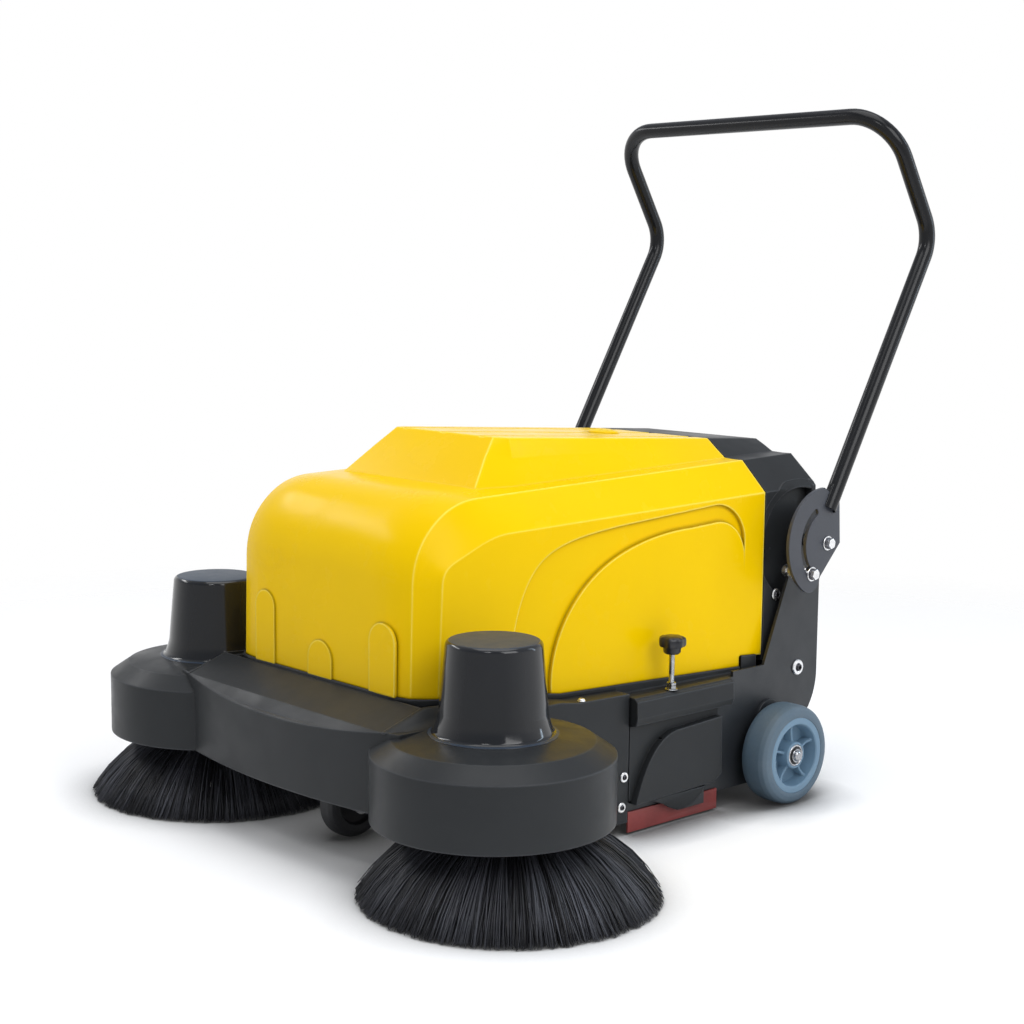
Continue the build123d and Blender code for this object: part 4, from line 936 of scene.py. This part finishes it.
def make_height_adjusters():
    """Lobed knob, rod with a threaded lower half, and its washer and nuts."""
    def lobes(angle, index):
        return 1 - 0.055 * (1 - math.cos(7 * angle)) if index in LOBED else 1

    for name, _ in SIDES:
        body = f"height_adjuster_{name}"
        axis = JOINT_AT[f"height_knob_{name}_turn"]
        foot = Vector((axis.x, axis.y, 0))
        knob = Shape()
        knob.lathe(KNOB_PROFILE, foot, UP, 84, closed=False, wave=lobes)
        knob.piece(f"star_knob_{name}", body, KNOB_BLACK, "charcoal_plastic", [f"height_knob_{name}"], 50)
        rod = Shape()
        add_thread(rod, foot, 162, 222)
        rod.lathe([(221.5, 3.4), (222.5, 4), (250.8, 4)], foot, UP, 32, closed=False)
        for z, outer, thick in ((199.4, 9.5, 1.6), (189.2, 7, 3.4)):
            add_washer(rod, foot + Vector((0, 0, z)) * MM, UP, outer, 4, thick)
        for z, height in ((201.2, 4.6), (206.4, 3.6)):
            add_hex_head(rod, foot + Vector((0, 0, z)) * MM, UP, 6.4, height)
        rod.piece(f"height_rod_{name}", body, ROD_STEEL, "zinc_steel", [f"adjuster_rod_{name}"], 35)


# ------------------------ hood seat and pull
# x, y, z of the hood's foot from its middle round to the side, and the deck's height under it
HOOD_FOOT = ((0, -424, 236, 230), (120, -424, 236, 230), (146, -423.5, 236, 229), (170, -421.5, 236, 228),
             (188, -417, 236, 228), (199.5, -407, 236, 228), (211, -392, 236, 228), (213.3, -330, 236, 228),
             (219.1, -178, 213, 206), (223.0, -75.5, 210.2, 203))


def make_hood_seat():
    """The lip of the deck that stands round the hood's foot, and the shelf behind each side cover."""
    shape = Shape()
    for _, side in SIDES:
        rings = []
        for i, (x, y, z, low) in enumerate(HOOD_FOOT):
            before, after = HOOD_FOOT[max(i - 1, 0)], HOOD_FOOT[min(i + 1, len(HOOD_FOOT) - 1)]
            along = Vector((after[0] - before[0], after[1] - before[1], 0)).normalized()
            out = Vector((along.y, -along.x, 0))
            lip = ((0.7, low), (0.7, z + 0.5), (1.2, z + 1), (2.0, z + 1), (2.6, z + 0.3), (3.0, low))
            ring = [Vector((x, y, height)) + out * reach for reach, height in lip]
            rings.append([at(side * p.x, p.y, p.z) for p in ring])
        shape.rings(rings)
        for start, end, foot in ((-76, 180.5, 210.2), (183, 215, 219)):
            rings = []
            for y in (start, end):
                x = side_x(y)
                z = foot + 0.6 - (y - start) * (0.028 if start < 0 else 0.06)
                outline = ((x + 0.8, 193), (x + 0.8, z), (x + 1.3, z + 0.6), (x + 2.2, z + 0.6),
                           (x + 3, z - 0.4), (x + 3.6, 198.6), (x + 5, 197), (246.8, 196.2), (246.8, 193))
                rings.append([at(side * px, y, pz) for px, pz in outline])
            shape.rings(rings)
    shape.piece("hood_seat", "chassis", CHARCOAL, "charcoal_plastic", (), 30)


# y, z of the deck's raised middle where it meets the brush shrouds
DECK_CREST = ((-490, 211.4), (-458, 222), (-426.5, 232.9), (-412, 232.5), (-372, 230), (-330, 228.9),
              (-270, 220), (-216, 212.2))
SHOULDER_FALL = ((222, 0.99), (226.4, 1.0), (229, 0.9), (235, 0.58), (243, 0.22), (250, 0.05), (256, 0))
SHROUD_Y, SHROUD_TOP_Z = -360, 211


def make_deck_shoulders():
    """Ramps that carry the raised middle of the deck down onto the brush shrouds."""
    shape = Shape()
    for _, side in SIDES:
        rings = []
        for x, share in SHOULDER_FALL:
            reach = 1 if x < 230 else 1 - (x - 230) / 70
            top = [(y, SHROUD_TOP_Z + (z - SHROUD_TOP_Z) * share + 0.3) for y, z in DECK_CREST]
            outline = top + [(-216, 209.5), (-490, 209.5)]
            rings.append([at(side * x, SHROUD_Y + (y - SHROUD_Y) * reach, z) for y, z in outline])
        shape.rings(rings)
    shape.piece("deck_shoulders", "chassis", CHARCOAL, "charcoal_plastic", (), 50)


COVER_TONGUE = ((-58, 47.5), (-34, 44), (-14, 36), (0, 28), (13, 23), (30, 22), (46, 25), (59, 31),
                (68, 38), (75, 47.5))  # y, z


def make_cover_tongues():
    """The lip that hangs from each side cover over its rubber flap."""
    shape = Shape()
    for _, side in SIDES:
        middle_y, middle_z = 8, 40
        rings = []
        for x, size in ((262.3, 1), (264.6, 1), (265.6, 0.97), (266, 0.93)):
            rings.append([at(side * x, middle_y + (y - middle_y) * size, middle_z + (z - middle_z) * size)
                          for y, z in COVER_TONGUE])
        shape.rings(rings)
    shape.piece("cover_tongues", "chassis", CHARCOAL, "charcoal_plastic", (), 40)


RECESS_RIM = ((79, 12), (79.5, 1.5), (81, 0.3), (85, 0.3), (89, 0.3), (93, 0.3), (93, 12))  # radius, depth


def make_housing_corners():
    """Solid rear corners of the housing, and the rims of the round recesses for the handle plates."""
    shape = Shape()
    for _, side in SIDES:
        rings = []
        for step in range(37):
            angle = math.radians(52 + 4 * step)
            ring = []
            for radius, drop in RECESS_RIM:
                y = min(max(PIVOT_Y + radius * math.cos(angle), 232), REAR_WALL_Y - 0.4)
                z = PIVOT_Z + radius * math.sin(angle)
                ring.append(at(side * (housing_side_x(y, z) - drop), y, z))
            rings.append(ring)
        shape.rings(rings)
        rings = []
        for z in (292, 380, 440, 466.8, 475.6):
            inward = 238.9 - housing_side_x(344, z)
            inner = [(225.4, 344.8), (225.4, 335.5)]
            outer = [(237.6, 335.5), (238.5, 336.5), (238.7, 343.8), (237.9, 344.8)]
            rings.append([at(side * x, y, z) for x, y in inner + [(x - inward, y) for x, y in outer]])
        shape.rings(rings)
    shape.piece("housing_corners", "chassis", CHARCOAL, "charcoal_plastic", (), 30)


def make_finger_pull():
    """A raised rim round the finger hole, and a dark cup in the hole as painted shade."""
    shape = Shape()
    up = Vector((0, 0.0555, 1)).normalized()
    centre = at(0, 120, 541.4)
    rim = [(-2, 19.2), (2.4, 19.4), (3.4, 20.3), (3.6, 21.4), (3.0, 23), (0.6, 24.6), (-0.6, 25)]
    shape.lathe(rim, centre, up, 64)
    shape.piece("finger_rim", "hood", YELLOW, "hood_yellow", (), 50)
    # Painted shade: a dark bowl in the finger hole stands in for the shadow inside it.
    cup = Shape()
    bowl = [(1, 19.1), (-9, 17.8), (-12, 15), (-13, 0.4), (-14.5, 0.4), (-13.6, 16), (-10, 19.1)]
    cup.lathe(bowl, centre, up, 64)
    cup.piece("finger_hole_shade", "hood", PANEL_BLACK, "hood_yellow", (), 50)


# ------------------------ batteries and controls
def add_block(shape, low, high, radius):
    """A block with rounded upright corners and a softened upper rim."""
    (x0, y0, z0), (x1, y1, z1) = low, high
    rings = []
    for height, inset in ((z0, 0), (z1 - radius * 0.35, 0), (z1, radius * 0.35)):
        ring = []
        for cx, cy, turn in ((x1, y1, 0), (x0, y1, 1), (x0, y0, 2), (x1, y0, 3)):
            sx, sy = (1 if cx == x1 else -1), (1 if cy == y1 else -1)
            for step in range(5):
                a = math.pi / 2 * (turn + step / 4)
                ring.append(at(cx - sx * radius + (radius - inset) * math.cos(a),
                               cy - sy * radius + (radius - inset) * math.sin(a), height))
        rings.append(ring)
    shape.rings(rings)


LEAD_RUN = ((140, -270, 466), (140, -255, 473), (150, -120, 464), (140, -22, 446), (112, 0, 330),
            (50, 22, 262), (44, 41, 262))


def make_battery_tops():
    """Lids, vent caps, clamped terminals and cables on the two batteries."""
    lids, caps, clamps, red, black = Shape(), Shape(), Shape(), Shape(), Shape()
    for _, side in SIDES:
        middle = 88 * side
        for y0, y1 in ((-250, -190), (-150, -56)):
            add_block(lids, (middle - 66, y0, 450.6), (middle + 66, y1, 454.4), 7)
            for offset in (-44, 0, 44):
                cap = [(454.2, 11), (456.6, 11), (457.8, 10), (457.8, 3.2), (456.9, 2.6), (456.9, 0.4)]
                caps.lathe(cap, at(middle + offset, (y0 + y1) / 2, 0), UP, 40, closed=False)
        for offset in (-52, 52):
            post = at(middle + offset, -270, 451)
            add_washer(red if offset * side > 0 else black, post, UP, 16, 8.2, 2.5)
            add_washer(clamps, post + Vector((0, 0, 12 * MM)), UP, 9, 3, 1.8)
            add_hex_head(clamps, post + Vector((0, 0, 13.8 * MM)), UP, 6.4, 4.6)
    link = [at(-36, -270, 466), at(-36, -282, 474), at(36, -282, 474), at(36, -270, 466)]
    black.tube(rounded(link, 0.008, 6), 4.2 * MM, 20)
    for side, cable in ((1, red), (-1, black)):
        path = [at(side * x, y, z) for x, y, z in LEAD_RUN]
        cable.tube(rounded(path, [0.006, 0.05, 0.02, 0.04, 0.02], 6), 4.6 * MM, 20)
    lids.piece("battery_lids", "chassis", BATTERY_LID, "battery_case")
    caps.piece("vent_caps", "chassis", SWITCH_BLACK, "battery_case")
    clamps.piece("terminal_clamps", "chassis", BRASS, "turned_steel")
    red.piece("positive_leads", "chassis", TERMINAL_RED, "battery_case")
    black.piece("negative_leads", "chassis", BLACK_RUBBER, "belt_rubber")


def make_panel_trim():
    """Screws and printed marks on the switch panel, bars in the meter, pins in the charge inlet."""
    face = Vector((0, 1, 0))
    screws, bars, pins = Shape(), Shape(), Shape()
    for x in (-85, 85):
        for z in (394, 466):
            add_button_head(screws, at(x, PANEL_FACE_Y, z), face, 3.6, 2.2, 1.3)
    for index in range(5):
        x = -13 + 6.5 * index
        low, high = at(x - 2.2, 352, 452 + index * 0.6), at(x + 2.2, 352.5, 462)
        shape_box(bars, low, high)
    for x in (-58, 0, 58):
        shape_box(bars, at(x - 8, PANEL_FACE_Y, 408.5), at(x + 8, PANEL_FACE_Y + 0.35, 410.5))
    pin = [(344, 1.9), (352, 1.9), (353.2, 1.2)]
    for turn in range(3):
        angle = TAU * turn / 3
        place = at(120 + 6 * math.cos(angle), 0, 300 + 6 * math.sin(angle))
        pins.lathe(pin, place, face, 20, closed=False)
    screws.piece("panel_screws", "chassis", BLACK_OXIDE, "panel_black")
    bars.piece("panel_marks", "chassis", PRINT_WHITE, "panel_black")
    pins.piece("inlet_pins", "chassis", BRASS, "turned_steel")


def shape_box(shape, low, high):
    """A plain bar, for printed marks that stand slightly proud."""
    rings = []
    for y in (low.y, high.y):
        corners = ((low.x, low.z), (high.x, low.z), (high.x, high.z), (low.x, high.z))
        rings.append([Vector((x, y, z)) for x, z in corners])
    shape.rings(rings)


# ------------------------ handle
def make_handle():
    """The bent tube, with welds where it straddles its side plates."""
    lower, bend, corner = (288, 312, 436), (288, 550, 846), (285, 437.5, 1028.5)
    half = [at(*lower), at(*bend), at(*corner)]
    mirrored = [Vector((-p.x, p.y, p.z)) for p in reversed(half)]
    path = rounded(half + mirrored, [0.060, 0.075, 0.075, 0.060], 14)
    tube = Shape()
    tube.tube(path, 12.5 * MM, 40, inner=10.5 * MM)
    tube.piece("push_handle", "handle", TUBE_BLACK, "handle_black", ["handle_tube"], 40)
    beads = Shape()
    rng = random.Random(3)
    rise = (half[1] - half[0]).normalized()
    for _, side in SIDES:
        for face in (285, 291):
            for edge in (-1, 1):
                across = Vector((0, rise.z, -rise.y)) * edge
                start = Vector((side * face * MM, half[0].y, half[0].z)) + across * 11.9 * MM
                line = []
                for step in range(19):
                    wobble = Vector((0, rng.uniform(-0.4, 0.4), rng.uniform(-0.4, 0.4))) * MM
                    line.append(start + rise * (1 + 2 * step) * MM + wobble)
                beads.tube(line, 1.7 * MM, 10)
    beads.piece("handle_welds", "handle", TUBE_BLACK, "handle_black", (), 60)


# ------------------------ CAD nodes that keep their shape
FINISH = (  # material, edge width in mm, nodes
    (YELLOW, 1.4, "hood"),
    (CHARCOAL, 1.0, "hopper"),
    (CHARCOAL, 1.4, "rear_housing"),
    (CHARCOAL, 1.8, "front_deck"),
    (CHARCOAL, 2.2, "side_cover_left side_cover_right"),
    (CHARCOAL, 3.0, "hopper_handle"),
    (PANEL_BLACK, 1.0, "switch_panel charge_socket"),
    (HUB_BLACK, 1.0, "side_brush_disc_left side_brush_disc_right roller_core"),
    (BATTERY_CASE, 2.0, "batteries"),
    (METER_GREEN, 0.8, "battery_meter"),
    (SWITCH_RED, 0.8, "main_brush_switch"),
    (SWITCH_BLACK, 0.8, "side_brush_switch"),
    (FRAME_BLACK, 0.5, "skirt_brackets hopper_rails battery_tray"),
    (FRAME_BLACK, 0.6, "side_plate_left side_plate_right platform brush_carriage"),
    (FRAME_BLACK, 0.8, "axle_brackets"),
    (PLATE_GREY, 0.8, "handle_plates"),
    (MOTOR_PAINT, 1.5, "side_brush_motors main_motor"),
    (ZINC, 0.5, "flap_bars caster_axle"),
    (ZINC, 0.6, "hood_hinges caster_plate"),
    (ZINC, 0.7, "caster_fork"),
    (STEEL, 0.6, "roller_bearings roller_pulley motor_pulley"),
    (DIE_CAST, 0.8, "controller_box"),
    (CHROME, 0.6, "key_switch"),
    (FLAP_RED, 0.5, "side_flaps"),
    (BLACK_RUBBER, 0.5, "cross_flaps drive_belt"),
    (WEBBING, 0.5, "battery_strap"),
)


def finish_cad_nodes():
    for material, width, nodes in FINISH:
        for node in nodes.split():
            obj = frame["nodes"][node]
            soften(obj, width * MM)
            obj.data.materials.clear()
            obj.data.materials.append(material)


# ------------------------ assembly
add_camera()
add_studio()
finish_cad_nodes()
make_cover_screws()
make_handle_bolts()
make_wheel_bolts()
make_wheels()
make_caster_wheel()
make_side_brushes()
make_roller_bristles()
make_motor_domes()
make_height_adjusters()
make_deck_screws()
make_hood_seat()
make_deck_shoulders()
make_cover_tongues()
make_housing_corners()
make_finger_pull()
make_battery_tops()
make_panel_trim()
make_handle()
